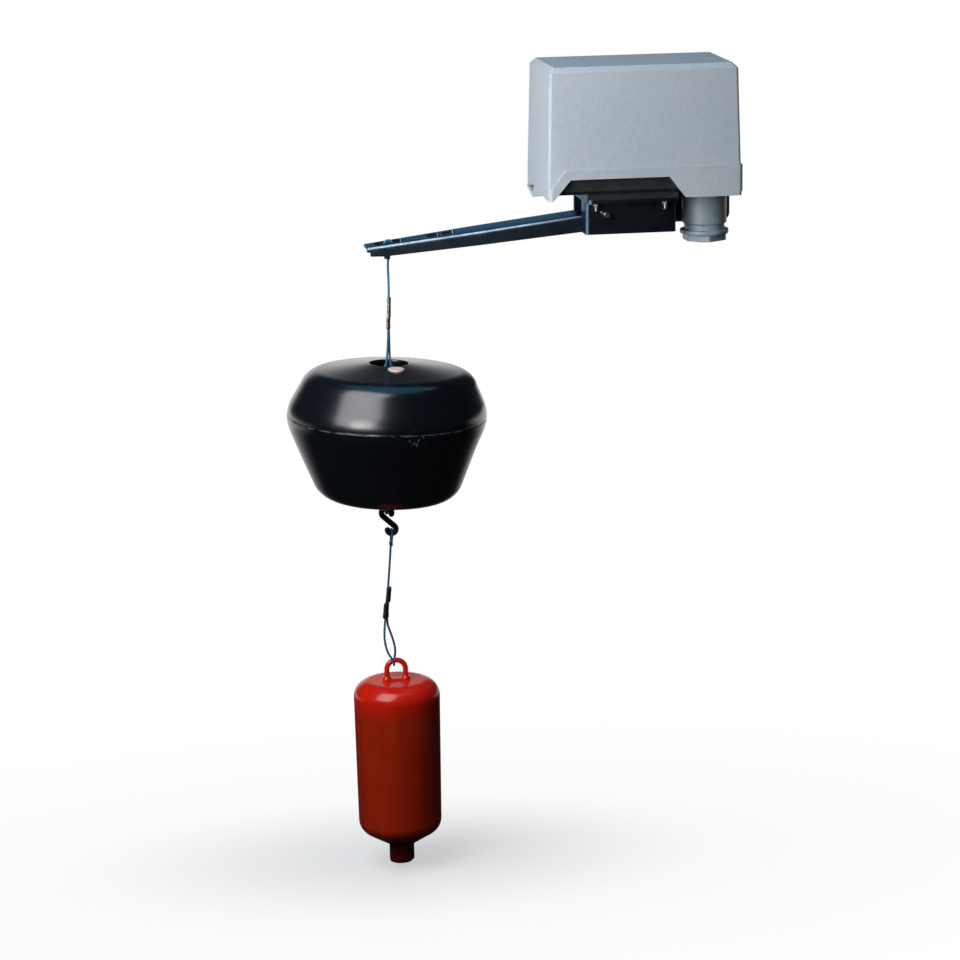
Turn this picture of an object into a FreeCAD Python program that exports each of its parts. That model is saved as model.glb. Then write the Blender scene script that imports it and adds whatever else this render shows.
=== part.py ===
import FreeCAD, Part
import os
from math import acos, asin, atan2, cos, degrees, hypot, pi, radians, sin, sqrt, tan
from FreeCAD import Matrix, Placement, Rotation, Vector

# Level controller with a float and a weight on ropes. Millimetres, +Z up.
# X runs along the lever, whose tip points to -X. The front of the case faces -Y.
# The origin is the middle of the two mounting holes, on the rear face of the bracket's ear.

# Case
case_length = 106.0
case_depth = 62.0
case_height = 70.8
case_middle_x = -37.5
case_middle_y = -18.0
case_bottom = 11.0
cover_wall = 2.2
cover_draft = 1.4
cover_corner = 1.6
cover_top_edge = 2.8
rim_height = 16.5
rim_proud = 1.0
rim_band = 5.0
rim_step = 2.0
cutout_height = 11.5
cutout_left = 11.9
cutout_right = 65.7
cutout_left_run = 9.7
cutout_right_run = 8.9
apron_front = 16.4
apron_notch = 1.4
apron_low = 46.8
apron_drop = 3.6
apron_window_top = 41.5
apron_window_rise = 3.9
apron_window_lip = 2.6
apron_window_rim = 2.0

# Base tray, with the gasket that the cover's ledge rests on
base_gap = 0.35
base_lift = 2.7
base_height = 15.0
base_floor = 2.4
base_wall = 2.2
base_chamfer = 2.0
base_corner = 2.6
gasket_thickness = 1.4
gasket_width = 2.0
ledge_width = 2.6
ledge_thickness = 2.0

cover_screw_radius = 1.6
cover_screw_length = 9.0
cover_screw_lift = 9.0
cover_screw_offset = 18.0
cover_boss_radius = 3.9

# Bracket, a bent steel sheet with a front wall, a rear wall and an ear for mounting
steel = 2.0
bracket_left = -68.3
bracket_length = 49.8
bracket_setback = 12.0
bracket_height = 19.4
bracket_top = 10.3
bracket_bend = 1.2
flange_reach = 6.0
lip_depth = 11.0
hole_spacing = 30.0
ear_margin = 4.4
ear_corner = 4.0
hole_radius = 2.75
bracket_screw_inset = 5.6
bracket_screw_radius = 1.1
bracket_screw_head = 2.4
bracket_screw_head_height = 1.6
bracket_screw_end = 2.8
nut_flats = 4.0
nut_height = 1.4

# Lever
lever_pivot_x = -57.1
lever_pivot_z = 1.6
lever_droop = 6.66
lever_travel = 9.0
lever_middle = -14.0
lever_sheet = 1.8
lever_top = -0.45
lever_tip = 128.0
lever_tail = 28.5
lever_tip_half = 7.5
lever_shoulder = 68.0
lever_half = 11.0
lever_bend = 2.2
flange_setback = 1.2
flange_tip_height = 5.1
flange_step = 7.5
flange_step_height = 6.1
flange_root_height = 9.3
slot_length = 6.8
slot_half = 4.5
slot_corner = 0.8
slot_bar = 1.6
slot_pair_near = 86.9
slot_pair_far = 115.6
ear_radius = 5.0
pivot_window = 5.6

# Pivot
pin_radius = 1.75
pin_proud = 3.2
pin_head_radius = 2.8
pin_head_height = 0.8
bush_wall = 1.0
bush_flange = 0.6
bush_flange_radius = 3.8
run_clearance = 0.05
spacer_radius = 3.4
split_pin_radius = 0.35
split_pin_half = 2.45
split_pin_ring = 0.6
split_pin_spread = 0.7
split_pin_slope = -30.0

# Switch and its tappet
tappet_arm = 9.1
tappet_radius = 2.4
tappet_top = 25.4
tappet_gap = 0.18
switch_gap = 8.5
switch_length = 38.0
switch_width = 34.0
switch_bottom = 23.6
switch_height = 20.0
switch_raised_end = 8.5
switch_raised_height = 3.0
switch_bench = 14.0
switch_bench_slope = 3.0
switch_bench_drop = 7.6
switch_screw_recess = 4.0
switch_post_radius = 3.2
switch_screw_radius = 1.5
switch_screw_head = 2.4
terminal_count = 3
terminal_pitch = 7.6
terminal_half = 2.8
terminal_from_end = 7.2
terminal_recess = 3.4
terminal_screw_radius = 2.3

# Spring that carries the lever, its yoke and its adjusting screw
spring_arm = 24.1
spring_mean_radius = 5.2
spring_wire = 1.5
spring_turns = 6
spring_length = 40.0
seat_radius = 6.6
seat_thickness = 2.0
seat_nose = 2.4
seat_spigot = 3.6
seat_spigot_height = 3.0
yoke_width = 10.0
yoke_gap = 20.0
yoke_sheet = 1.5
yoke_height = 42.0
yoke_foot = 6.0
screw_radius = 2.4
screw_head_radius = 4.2
screw_head_height = 3.0
opening_radius = 7.6
yoke_screw_radius = 1.4
yoke_screw_depth = 1.6
yoke_screw_head = 2.4
yoke_screw_head_height = 1.8

# Earth terminal
earth_from_bracket = 2.5
earth_from_front = 12.0
earth_plate_size = 9.0
earth_plate_thickness = 1.5

# Cable gland
gland_from_end = 14.1
gland_body_radius = 12.2
gland_seat_radius = 10.8
gland_body_length = 20.4
gland_gap = 0.3
gland_thread_radius = 7.2
gland_thread_length = 9.0
gland_bore = 5.6
gland_washer_thickness = 1.0
gland_neck_radius = 8.6
gland_neck_length = 5.2
gland_nut_height = 9.2
gland_ring_radius = 13.2
gland_ring_height = 2.4
gland_collar_radius = 11.0
gland_collar_height = 3.2
gland_hex_radius = 12.5
gland_floor = 1.2
seal_bore = 5.0
seal_lip_radius = 6.4
seal_lip = 1.0
locknut_flats = 16.4
locknut_height = 4.0

# Rope, its crimped sleeves and its end windings
rope_radius = 0.6
ferrule_length = 17.4
ferrule_radius = 1.35
winding_radius = 0.95
winding_length = 2.6

# Float, described upright about its axis and then tilted as it hangs
float_aside = -2.0
float_drop = 93.2
float_y = lever_middle
float_tilt = 1.8
float_corner_radius = 56.1
float_equator_round = 19.5
float_shoulder_radius = 44.6
float_shoulder = 23.2
float_shoulder_round = 11.5
float_top = 28.1
float_bottom = 47.1
float_bottom_radius = 36.9
float_bottom_round = 14.8
float_wall = 2.4
float_seam = -1.2
float_seam_groove = 0.35
recess_radius = 10.3
recess_depth = 17.0
hub_tube_radius = 4.5
rod_radius = 1.3
rod_clearance = 0.1
top_eye = 22.4
top_eye_radius = 3.8
top_eye_wire = 1.5
bottom_eye = 55.2
bottom_eye_radius = 3.2
bottom_eye_wire = 1.0
plug_radius = 4.5
plug_offset_x = 1.9
plug_offset_y = -15.3
plug_stem = 1.8
plug_proud = 0.2

# Hook below the float
hook_wire = 1.6
hook_top_radius = 2.8
hook_low_radius = 2.35
hook_aside = 0.9
hook_drop = 64.6
hook_top_tip = -20.0
hook_low_tip = -172.0

# Weight
weight_aside = 1.0
weight_drop = 74.4
weight_y = lever_middle
weight_tilt = -0.55
weight_radius = 24.0
weight_low_radius = 22.85
weight_shoulder_round = 9.0
weight_eye_rise = 11.2
weight_side = 84.8
weight_cone = 9.8
weight_spigot = 9.4
weight_side_round = 8.5
weight_neck_radius = 6.9
weight_wall = 2.0
neck_bore = 4.2
stopper_length = 9.0
stopper_flange = 0.8
eye_wire = 1.55
weight_eye_radius = 5.2
eye_pad_length = 15.4
eye_pad_width = 5.0
eye_pad_height = 0.9

# Ropes: the middle line of each, from the winding round its support to the end in the ferrule.
# Its points are offsets (x, y, z), first from what the rope hangs on and then from what it carries.
upper_from_bar = [
    (-1.35, 0.0, -6.55), (-2.3, 0.0, -3.05), (-2.3, 0.0, 1.85), (2.05, 0.0, 1.85), (2.05, 0.0, -3.05),
    (-0.85, -0.1, -8.05), (-0.1, -0.65, -24.9)]
upper_from_eye = [
    (-0.45, -0.55, 6.4), (-2.45, -0.3, 2.6), (-2.45, 0.0, -2.4), (2.45, 0.0, -2.4), (2.45, 0.3, 2.6),
    (0.5, 0.55, 6.4), (0.95, 0.65, 40.5)]
lower_from_hook = [
    (-0.45, -1.0, -7.6), (-0.15, -2.45, -4.7), (0.0, -2.45, 0.0), (0.0, 2.45, 0.0), (-0.15, 2.45, -4.7),
    (-0.6, 0.1, -8.8), (-2.5, -0.6, -31.45)]
lower_from_eye = [
    (-5.75, -0.6, 22.35), (-6.4, -0.5, 12.45), (-4.75, -1.6, 4.6), (-1.85, -2.45, 0.8), (-1.25, -2.45, -2.7),
    (-0.75, 2.45, -2.7), (-0.15, 2.45, 1.8), (0.15, 1.8, 6.4), (-1.95, 0.9, 14.2), (-5.2, 0.6, 22.8),
    (-3.27, 0.6, 40.4)]
upper_ferrule_drop = 29.05
lower_ferrule_drop = 32.65

# Values worked out from the ones above
case_left = case_middle_x - case_length / 2
case_right = case_middle_x + case_length / 2
case_front = case_middle_y - case_depth / 2
case_back = case_middle_y + case_depth / 2
case_top = case_bottom + case_height
case_rim = case_bottom + rim_height
draft = tan(radians(cover_draft))
bracket_right = bracket_left + bracket_length
bracket_front = case_front + bracket_setback
bracket_bottom = bracket_top - bracket_height
ear_end = hole_spacing / 2 + ear_margin
base_bottom = case_bottom + base_lift
base_inset = rim_proud + cover_wall + base_gap + draft * 0.5
base_inside = base_bottom + base_floor
base_rim = base_bottom + base_height
cover_screw_y = case_middle_y + cover_screw_offset
cover_screw_z = case_bottom + cover_screw_lift
cover_screw_tip = case_right - cover_screw_length
spring_x = lever_pivot_x + spring_arm
tappet_x = lever_pivot_x + tappet_arm
switch_left = case_left + switch_gap
earth_x = bracket_right + earth_from_bracket
earth_y = case_front + earth_from_front
gland_x = case_right - gland_from_end
gland_y = case_middle_y

# The lever's outer bar, which the upper rope is looped round, with the lever at its lowest
droop = radians(lever_droop)
bar_height = lever_top - lever_sheet / 2
bar_x = lever_pivot_x - slot_pair_far * cos(droop) - bar_height * sin(droop)
bar_z = lever_pivot_z - slot_pair_far * sin(droop) + bar_height * cos(droop)

# The float below the bar, its two eyes on the tilted axis, the hook and the weight
float_x = bar_x + float_aside
float_equator = bar_z - float_drop
tilt = radians(float_tilt)
top_eye_x = float_x + top_eye * sin(tilt)
top_eye_z = float_equator + top_eye * cos(tilt)
bottom_eye_x = float_x - bottom_eye * sin(tilt)
bottom_eye_z = float_equator - bottom_eye * cos(tilt)
float_upper_lean = atan2(float_corner_radius - float_shoulder_radius, float_shoulder)
float_lower_lean = atan2(float_corner_radius - float_bottom_radius, float_bottom)
float_top_slope = atan2(float_top - float_shoulder, float_shoulder_radius - recess_radius)
hook_low_x = float_x + hook_aside
hook_low_z = float_equator - hook_drop
weight_x = hook_low_x + weight_aside
weight_eye_top = hook_low_z - weight_drop
weight_top = weight_eye_top - weight_eye_rise
weight_side_end = weight_top - weight_side
weight_neck_top = weight_side_end - weight_cone
weight_bottom = weight_neck_top - weight_spigot


def box(x0, x1, y0, y1, z0, z1):
    return Part.makeBox(x1 - x0, y1 - y0, z1 - z0, Vector(x0, y0, z0))


def rod(radius, start, end):
    start, end = Vector(*start), Vector(*end)
    return Part.makeCylinder(radius, (end - start).Length, start, end - start)


def tube(outer, inner, start, end):
    return rod(outer, start, end).cut(rod(inner, start, end))


def outline(corners, place):
    """Closed wire through the corners (a, b, rounding), each put in space by place(a, b)."""
    pieces = []
    for i, (a, b, rounding) in enumerate(corners):
        before, after = corners[i - 1], corners[(i + 1) % len(corners)]
        if not rounding:
            pieces.append(((a, b), None, (a, b)))
            continue
        to_before = unit(before[0] - a, before[1] - b)
        to_after = unit(after[0] - a, after[1] - b)
        half = acos(to_before[0] * to_after[0] + to_before[1] * to_after[1]) / 2
        trim, reach = rounding / tan(half), rounding / sin(half) - rounding
        inward = unit(to_before[0] + to_after[0], to_before[1] + to_after[1])
        pieces.append(((a + to_before[0] * trim, b + to_before[1] * trim),
                       (a + inward[0] * reach, b + inward[1] * reach),
                       (a + to_after[0] * trim, b + to_after[1] * trim)))
    edges = []
    for i, (start, middle, end) in enumerate(pieces):
        if middle:
            edges.append(Part.Arc(place(*start), place(*middle), place(*end)).toShape())
        follower = pieces[(i + 1) % len(pieces)][0]
        if hypot(follower[0] - end[0], follower[1] - end[1]) > 1e-6:
            edges.append(Part.LineSegment(place(*end), place(*follower)).toShape())
    return Part.Wire(edges)


def unit(a, b):
    length = hypot(a, b)
    return a / length, b / length


def revolved(corners, x, y):
    """Solid of revolution about the upright axis at (x, y). Corners are (radius, z, rounding)."""
    face = Part.Face(outline(corners, lambda r, z: Vector(x + r, y, z)))
    return face.revolve(Vector(x, y, 0), Vector(0, 0, 1), 360)


def along_y(corners, y0, y1):
    """Prism along Y. Corners are (x, z, rounding)."""
    face = Part.Face(outline(corners, lambda a, b: Vector(a, y0, b)))
    return face.extrude(Vector(0, y1 - y0, 0))


def along_z(corners, z0, z1):
    """Prism along Z. Corners are (x, y, rounding)."""
    face = Part.Face(outline(corners, lambda a, b: Vector(a, b, z0)))
    return face.extrude(Vector(0, 0, z1 - z0))


def along_x(corners, x0, x1):
    """Prism along X. Corners are (y, z, rounding)."""
    face = Part.Face(outline(corners, lambda a, b: Vector(x0, a, b)))
    return face.extrude(Vector(x1 - x0, 0, 0))


def case_section(inset, corner, z, end_inset=None):
    """Level section of the case. end_inset is for the left end, where it differs."""
    x0 = case_left + (inset if end_inset is None else end_inset)
    x1 = case_right - inset
    y0, y1 = case_front + inset, case_back - inset
    corners = [(x0, y0, corner), (x1, y0, corner), (x1, y1, corner), (x0, y1, corner)]
    return outline(corners, lambda a, b: Vector(a, b, z))


def case_block(inset, corner, z0, z1):
    return Part.Face(case_section(inset, corner, z0)).extrude(Vector(0, 0, z1 - z0))


def drafted_block(inset, corner, z0, z1, end_inset=None):
    """Block whose four sides lean in with the cover's draft. The insets are at the rim's height."""
    end = inset if end_inset is None else end_inset
    low, high = draft * (z0 - case_rim), draft * (z1 - case_rim)
    return Part.makeLoft([case_section(inset + low, corner, z0, end + low),
                          case_section(inset + high, corner, z1, end + high)], True)


def joined(shapes):
    result = shapes[0]
    for shape in shapes[1:]:
        result = result.fuse(shape)
    return result.removeSplitter()


def turned(shape, angle, x, y, z, axis=(0, 1, 0)):
    copy = shape.copy()
    copy.rotate(Vector(x, y, z), Vector(*axis), angle)
    return copy


def hexagon(x, y, z0, z1, flats, chamfer=0.0):
    """Upright hexagonal prism with flats towards +X and -X, its corners trimmed by cones at both ends."""
    corner = flats / 2 / cos(pi / 6)
    turns = [(k + 0.5) * pi / 3 for k in range(6)]
    points = [(x + corner * cos(turn), y + corner * sin(turn), 0) for turn in turns]
    prism = along_z(points, z0, z1)
    if not chamfer:
        return prism
    reach = chamfer * 2
    cone = revolved([(0, z0, 0), (corner - reach, z0, 0), (corner, z0 + chamfer, 0),
                     (corner, z1 - chamfer, 0), (corner - reach, z1, 0), (0, z1, 0)], x, y)
    return prism.common(cone)


def screw(x, y, head_bottom, shank_end, shank, head, head_height, slot=0.6):
    """Screw with its shank pointing down: shank, round head and a slot across the head."""
    depth = head_height * 0.45
    top = head_bottom + head_height
    body = revolved([(0, shank_end, 0), (shank, shank_end, 0), (shank, head_bottom, 0),
                     (head, head_bottom, 0),
                     (head, top - depth * 0.8, 0), (head - depth * 0.8, top, 0), (0, top, 0)], x, y)
    return body.cut(box(x - head, x + head, y - slot / 2, y + slot / 2, top - depth, top + 1))


def path_of(points):
    """Edges of straight runs joined by arcs as large as the two runs at each point allow."""
    points = [Vector(*point) for point in points]
    edges, radii, start = [], [], points[0]
    for before, point, after in zip(points, points[1:], points[2:]):
        back, on = (before - point), (after - point)
        shorter = min(back.Length, on.Length)
        back.normalize()
        on.normalize()
        turn = pi - acos(max(-1.0, min(1.0, back.dot(on))))
        trim = 0.45 * shorter
        radius = trim / tan(turn / 2)
        bisector = back + on
        bisector.normalize()
        first, last = point + back * trim, point + on * trim
        middle = point + bisector * (radius / cos(turn / 2) - radius)
        edges.append(Part.LineSegment(start, first).toShape())
        edges.append(Part.Arc(first, middle, last).toShape())
        radii.append(radius)
        start = last
    edges.append(Part.LineSegment(start, points[-1]).toShape())
    return edges, radii


def swept(edges, radius):
    """Round bar along joined edges that are tangent to each other."""
    wire = Part.Wire(edges)
    start = edges[0].Vertexes[0].Point
    heading = edges[0].tangentAt(edges[0].FirstParameter)
    ring = Part.Wire([Part.makeCircle(radius, start, heading)])
    return wire.makePipeShell([ring], True, True)


def rope(name, points):
    edges, radii = path_of(points)
    solid = swept(edges, rope_radius)
    length = sum(edge.Length for edge in edges)
    ideal = length * pi * rope_radius ** 2
    print(name, "length %.1f mm, volume / ideal %.4f, radii" % (length, solid.Volume / ideal),
          " ".join("%.1f" % radius for radius in radii))
    return solid


def lever_to_frame(shape):
    """Moves a piece drawn about the level lever's pivot to the lever's lowest position."""
    copy = shape.copy()
    copy.translate(Vector(lever_pivot_x, lever_middle, lever_pivot_z))
    return turned(copy, -lever_droop, lever_pivot_x, lever_middle, lever_pivot_z)


def lever_height(x):
    """Height of the lever's upper face below a point x, at the lowest position."""
    return lever_pivot_z + (x - lever_pivot_x) * tan(droop) + lever_top / cos(droop)


def make_cover():
    shoulder = case_top - cover_top_edge
    lean = draft * (shoulder - case_rim)
    side_inset, end_inset = rim_proud + lean, lean
    wall = drafted_block(rim_proud, cover_corner, case_bottom, shoulder, 0)
    wall = wall.common(box(case_left, case_right, case_front, case_back, case_bottom, shoulder))
    crown = Part.makeLoft([case_section(side_inset, cover_corner, shoulder, end_inset),
                           case_section(side_inset + cover_top_edge, cover_corner, case_top,
                                        end_inset + cover_top_edge)], True)
    slope = cutout_height / cutout_left_run
    shift = rim_band * tan(atan2(cutout_height, cutout_left_run) / 2)
    band_corner = case_left + cutout_left - shift
    band_foot = case_rim - slope * (band_corner - case_left)
    rim_outline = [(case_left - 1, case_bottom, 0), (case_left - 1, band_foot - slope, 0),
                   (band_corner, case_rim, 0), (case_right + 1, case_rim, 0),
                   (case_right + 1, case_bottom + rim_step, 0),
                   (case_right - rim_step, case_bottom + rim_step, 0),
                   (case_right - rim_step, case_bottom, 0)]
    band = along_y(rim_outline, case_front - 1, case_back + 1)
    skirt = case_block(0, cover_corner + rim_proud, case_bottom, case_rim).common(band)
    inner_corner = cover_corner - cover_wall / 2
    cavity = drafted_block(rim_proud + cover_wall, inner_corner, case_bottom - 1, case_top - cover_wall)
    ledge_bottom = base_rim + gasket_thickness
    ledge_inset = base_inset + ledge_width
    ledge = drafted_block(rim_proud + cover_wall - 0.5, inner_corner, ledge_bottom,
                          ledge_bottom + ledge_thickness)
    ledge = ledge.cut(case_block(ledge_inset, inner_corner, ledge_bottom - 1, ledge_bottom + 5))
    window = along_y([(case_left + cutout_left - cutout_left_run * 1.2, case_bottom - 0.2 * cutout_height, 0),
                      (case_left + cutout_left, case_bottom + cutout_height, 0.6),
                      (case_left + cutout_right, case_bottom + cutout_height, 0.6),
                      (case_left + cutout_right + cutout_right_run * 1.2,
                       case_bottom - 0.2 * cutout_height, 0)], case_front - 1, case_back + 1)
    cover = apron_notched(joined([wall, crown, skirt]).cut(cavity).cut(window))
    cover = joined([cover, ledge, make_apron()]).cut(apron_window())
    hole = rod(cover_screw_radius + 0.2, (case_right - base_inset - 1, cover_screw_y, cover_screw_z),
               (case_right + 1, cover_screw_y, cover_screw_z))
    return cover.cut(hole)


def apron_corners():
    """The apron's front end above a shallow notch, and its lowest point."""
    return ((case_front + apron_front, case_bottom + apron_notch),
            (case_front + apron_low, case_bottom - apron_drop))


def apron_notched(cover):
    """Cuts the notch between the front corner and the apron out of the left end's lower edge."""
    front, low = apron_corners()
    start = (case_front + rim_proud + cover_wall, case_bottom)
    return cover.cut(along_x([(*start, 0), (*front, 0), (*low, 0)], case_left - 1,
                             case_left + cover_wall + 1))


def make_apron():
    """Tongue below the cover's left end."""
    front, low = apron_corners()
    return along_x([(*front, 0), (*low, 1.0), (case_back, case_bottom, 0), (case_back, front[1], 0)],
                   case_left, case_left + cover_wall)


def apron_window():
    """Three-cornered window in the left end, near its rear corner."""
    low = apron_corners()[1]
    return along_x([(low[0], low[1] + apron_window_lip, 0.4),
                    (case_back - apron_window_rim, case_bottom + apron_window_rim / 2, 0.2),
                    (case_front + apron_window_top, case_bottom + apron_window_rise, 0.4)],
                   case_left - 1, case_left + cover_wall + 1)


def make_base():
    outer = case_block(base_inset, base_corner, base_bottom, base_rim)
    lower = [edge for edge in outer.Edges
             if max(vertex.Z for vertex in edge.Vertexes) < base_bottom + 0.01]
    outer = outer.makeChamfer(base_chamfer, lower)
    hollow = case_block(base_inset + base_wall, 1.0, base_inside, base_rim + 1)
    tray = outer.cut(hollow)
    pedestal = box(bracket_left, bracket_right, bracket_front - flange_reach + 0.5, -steel,
                   bracket_top, base_bottom + base_chamfer)
    guide = rod(tappet_radius + 1.8, (tappet_x, lever_middle, base_bottom),
                (tappet_x, lever_middle, switch_bottom - 1.2))
    posts = [rod(switch_post_radius, (x, y, base_inside - 1), (x, y, switch_bottom))
             for x, y in switch_posts()]
    boss = rod(cover_boss_radius, (case_right - base_inset - 0.1, cover_screw_y, cover_screw_z),
               (cover_screw_tip - 1.5, cover_screw_y, cover_screw_z))
    tray = joined([tray, pedestal, guide, boss] + posts)
    tray = tray.cut(rod(tappet_radius + run_clearance, (tappet_x, lever_middle, bracket_top - 1),
                        (tappet_x, lever_middle, switch_bottom)))
    tray = tray.cut(rod(opening_radius, (spring_x, lever_middle, bracket_top - 1),
                        (spring_x, lever_middle, base_inside + 1)))
    tray = tray.cut(rod(gland_thread_radius + 0.2, (gland_x, gland_y, base_bottom - 1),
                        (gland_x, gland_y, base_inside + 1)))
    for x, y in bracket_screws_at():
        tray = tray.cut(rod(bracket_screw_radius + 0.1, (x, y, bracket_top - 1), (x, y, base_inside + 1)))
    for x, y in switch_screws_at():
        tray = tray.cut(rod(switch_screw_radius, (x, y, base_inside), (x, y, switch_bottom + 1)))
    for x, y in yoke_screws_at():
        tray = tray.cut(rod(yoke_screw_radius, (x, y, base_inside - yoke_screw_depth),
                            (x, y, base_inside + 1)))
    tray = tray.cut(rod(yoke_screw_radius, (earth_x, earth_y, base_inside - yoke_screw_depth),
                        (earth_x, earth_y, base_inside + 1)))
    return tray.cut(rod(cover_screw_radius, (case_right, cover_screw_y, cover_screw_z),
                        (cover_screw_tip - 0.3, cover_screw_y, cover_screw_z)))


def switch_posts():
    inset = switch_post_radius + 0.1
    x0, x1 = switch_left + inset, switch_left + switch_length - inset
    y0, y1 = lever_middle - switch_width / 2 + inset, lever_middle + switch_width / 2 - inset
    return [(x0, y0), (x1, y0), (x0, y1), (x1, y1)]


def switch_screws_at():
    posts = switch_posts()
    return [posts[0], posts[3]]


def bracket_screws_at():
    xs = (bracket_left + bracket_screw_inset - 0.3, bracket_right - bracket_screw_inset - 1.2)
    ys = (bracket_front - flange_reach / 2, -steel - 4.2)
    return [(x, y) for x in xs for y in ys]


def yoke_screws_at():
    reach = yoke_gap / 2 + yoke_sheet + yoke_foot / 2
    return [(spring_x, lever_middle - reach), (spring_x, lever_middle + reach)]


def make_gasket():
    outer = case_block(base_inset + 0.1, base_corner, base_rim, base_rim + gasket_thickness)
    inner = case_block(base_inset + 0.1 + gasket_width, 1.0, base_rim - 1, base_rim + 5)
    return outer.cut(inner)


def make_cover_screw():
    upright = screw(0, 0, 0, -cover_screw_length, cover_screw_radius - 0.02, 3.4, 2.2, 0.9)
    lying = turned(upright, 90, 0, 0, 0)
    lying.translate(Vector(case_right, cover_screw_y, cover_screw_z))
    return lying


def make_bracket():
    flat = bracket_top - steel
    plate = box(bracket_left, bracket_right, bracket_front, 0, flat, bracket_top)
    flange = along_z([(bracket_left, bracket_front - flange_reach, 3.0),
                      (bracket_right, bracket_front - flange_reach, 3.0),
                      (bracket_right, bracket_front + 1, 0), (bracket_left, bracket_front + 1, 0)],
                     flat, bracket_top)
    shell = box(bracket_left, bracket_right, bracket_front, bracket_front + lip_depth,
                bracket_bottom, bracket_top)
    corners = [edge for edge in shell.Edges
               if abs(edge.Vertexes[0].X - edge.Vertexes[1].X) < 0.01
               and abs(edge.Vertexes[0].Y - edge.Vertexes[1].Y) < 0.01
               and edge.Vertexes[0].Y < bracket_front + 0.01]
    shell = shell.makeFillet(bracket_bend + steel / 2, corners)
    shell = shell.cut(box(bracket_left + steel, bracket_right - steel, bracket_front + steel, 0,
                          bracket_bottom - 1, flat))
    ear = along_y([(bracket_left + 0.9, bracket_bottom - 0.3, 0), (ear_end, bracket_bottom - 0.3, ear_corner),
                   (ear_end, flat, ear_corner), (bracket_right, flat, 0),
                   (bracket_right, bracket_top, 0), (bracket_left + 0.9, bracket_top, 0)], -steel, 0)
    bracket = joined([plate, flange, shell, ear])
    for x in (-hole_spacing / 2, hole_spacing / 2):
        bracket = bracket.cut(rod(hole_radius, (x, -steel - 1, 0), (x, 1, 0)))
    bracket = bracket.cut(rod(pin_radius, (lever_pivot_x, bracket_front - 1, lever_pivot_z),
                              (lever_pivot_x, 1, lever_pivot_z)))
    bracket = bracket.cut(rod(tappet_radius + 1.0, (tappet_x, lever_middle, flat - 1),
                              (tappet_x, lever_middle, bracket_top + 1)))
    bracket = bracket.cut(rod(opening_radius, (spring_x, lever_middle, flat - 1),
                              (spring_x, lever_middle, bracket_top + 1)))
    for x, y in bracket_screws_at():
        bracket = bracket.cut(rod(bracket_screw_radius + 0.1, (x, y, flat - 1), (x, y, bracket_top + 1)))
    return bracket


def make_bracket_screws():
    end = bracket_top - steel - nut_height - bracket_screw_end
    return [screw(x, y, base_inside, end, bracket_screw_radius, bracket_screw_head,
                  bracket_screw_head_height) for x, y in bracket_screws_at()]


def make_bracket_nuts():
    top = bracket_top - steel
    return [hexagon(x, y, top - nut_height, top, nut_flats, 0.25).cut(
            rod(bracket_screw_radius, (x, y, top - 3), (x, y, top + 1))) for x, y in bracket_screws_at()]


def lever_half_at(u):
    """Half of the lever's width at a distance u from the pivot towards the tip."""
    if u < lever_shoulder:
        return lever_half
    share = (u - lever_shoulder) / (lever_tip - lever_shoulder)
    return lever_half + (lever_tip_half - lever_half) * share


def lever_plan(inset, tip, tail):
    near = [(-tip, lever_half_at(tip) - inset), (-lever_shoulder, lever_half - inset),
            (tail, lever_half - inset)]
    return [(u, -v, 0) for u, v in near] + [(u, v, 0) for u, v in reversed(near)]


def make_lever():
    low = lever_top - flange_root_height - 1
    sides = along_y([(-lever_tip, lever_top, 0), (-lever_tip, lever_top - lever_sheet, 0),
                     (-lever_tip + flange_setback, lever_top - lever_sheet, 0),
                     (-lever_tip + flange_setback, lever_top - flange_tip_height, 0),
                     (-lever_tip + flange_setback + flange_step, lever_top - flange_step_height, 0),
                     (-pivot_window, lever_top - flange_root_height, 0),
                     (lever_tail, lever_top - flange_root_height, 3.0),
                     (lever_tail, lever_top, 0)], -lever_half - 1, lever_half + 1)
    plan = along_z(lever_plan(0, lever_tip, lever_tail), low, lever_top)
    bends = [edge for edge in plan.Edges
             if min(vertex.Z for vertex in edge.Vertexes) > lever_top - 0.01
             and abs(edge.Vertexes[0].X - edge.Vertexes[1].X) > 1]
    channel = plan.makeFillet(lever_bend, bends).common(sides)
    inside = along_z(lever_plan(lever_sheet, lever_tip + 1, lever_tail + 1), low - 1, lever_top - lever_sheet)
    bends = [edge for edge in inside.Edges
             if min(vertex.Z for vertex in edge.Vertexes) > lever_top - lever_sheet - 0.01
             and abs(edge.Vertexes[0].X - edge.Vertexes[1].X) > 1]
    channel = channel.cut(inside.makeFillet(lever_bend - lever_sheet + 0.3, bends))
    for side in (-1, 1):
        outer, inner = side * lever_half, side * (lever_half - lever_sheet)
        channel = channel.fuse(rod(ear_radius, (0, outer, 0), (0, inner, 0)))
    channel = channel.removeSplitter()
    clear = lever_half - lever_sheet
    channel = channel.cut(box(-pivot_window, pivot_window, -clear, clear, low, ear_radius))
    channel = channel.cut(rod(pin_radius + bush_wall, (0, -lever_half - 1, 0), (0, lever_half + 1, 0)))
    for middle in (-slot_pair_near, -slot_pair_far):
        for side in (-1, 1):
            start = middle + side * slot_bar / 2
            end = start + side * slot_length
            x0, x1 = min(start, end), max(start, end)
            slot = along_z([(x0, -slot_half, slot_corner), (x1, -slot_half, slot_corner),
                            (x1, slot_half, slot_corner), (x0, slot_half, slot_corner)], low, lever_top + 1)
            channel = channel.cut(slot)
    return lever_to_frame(channel)


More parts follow.
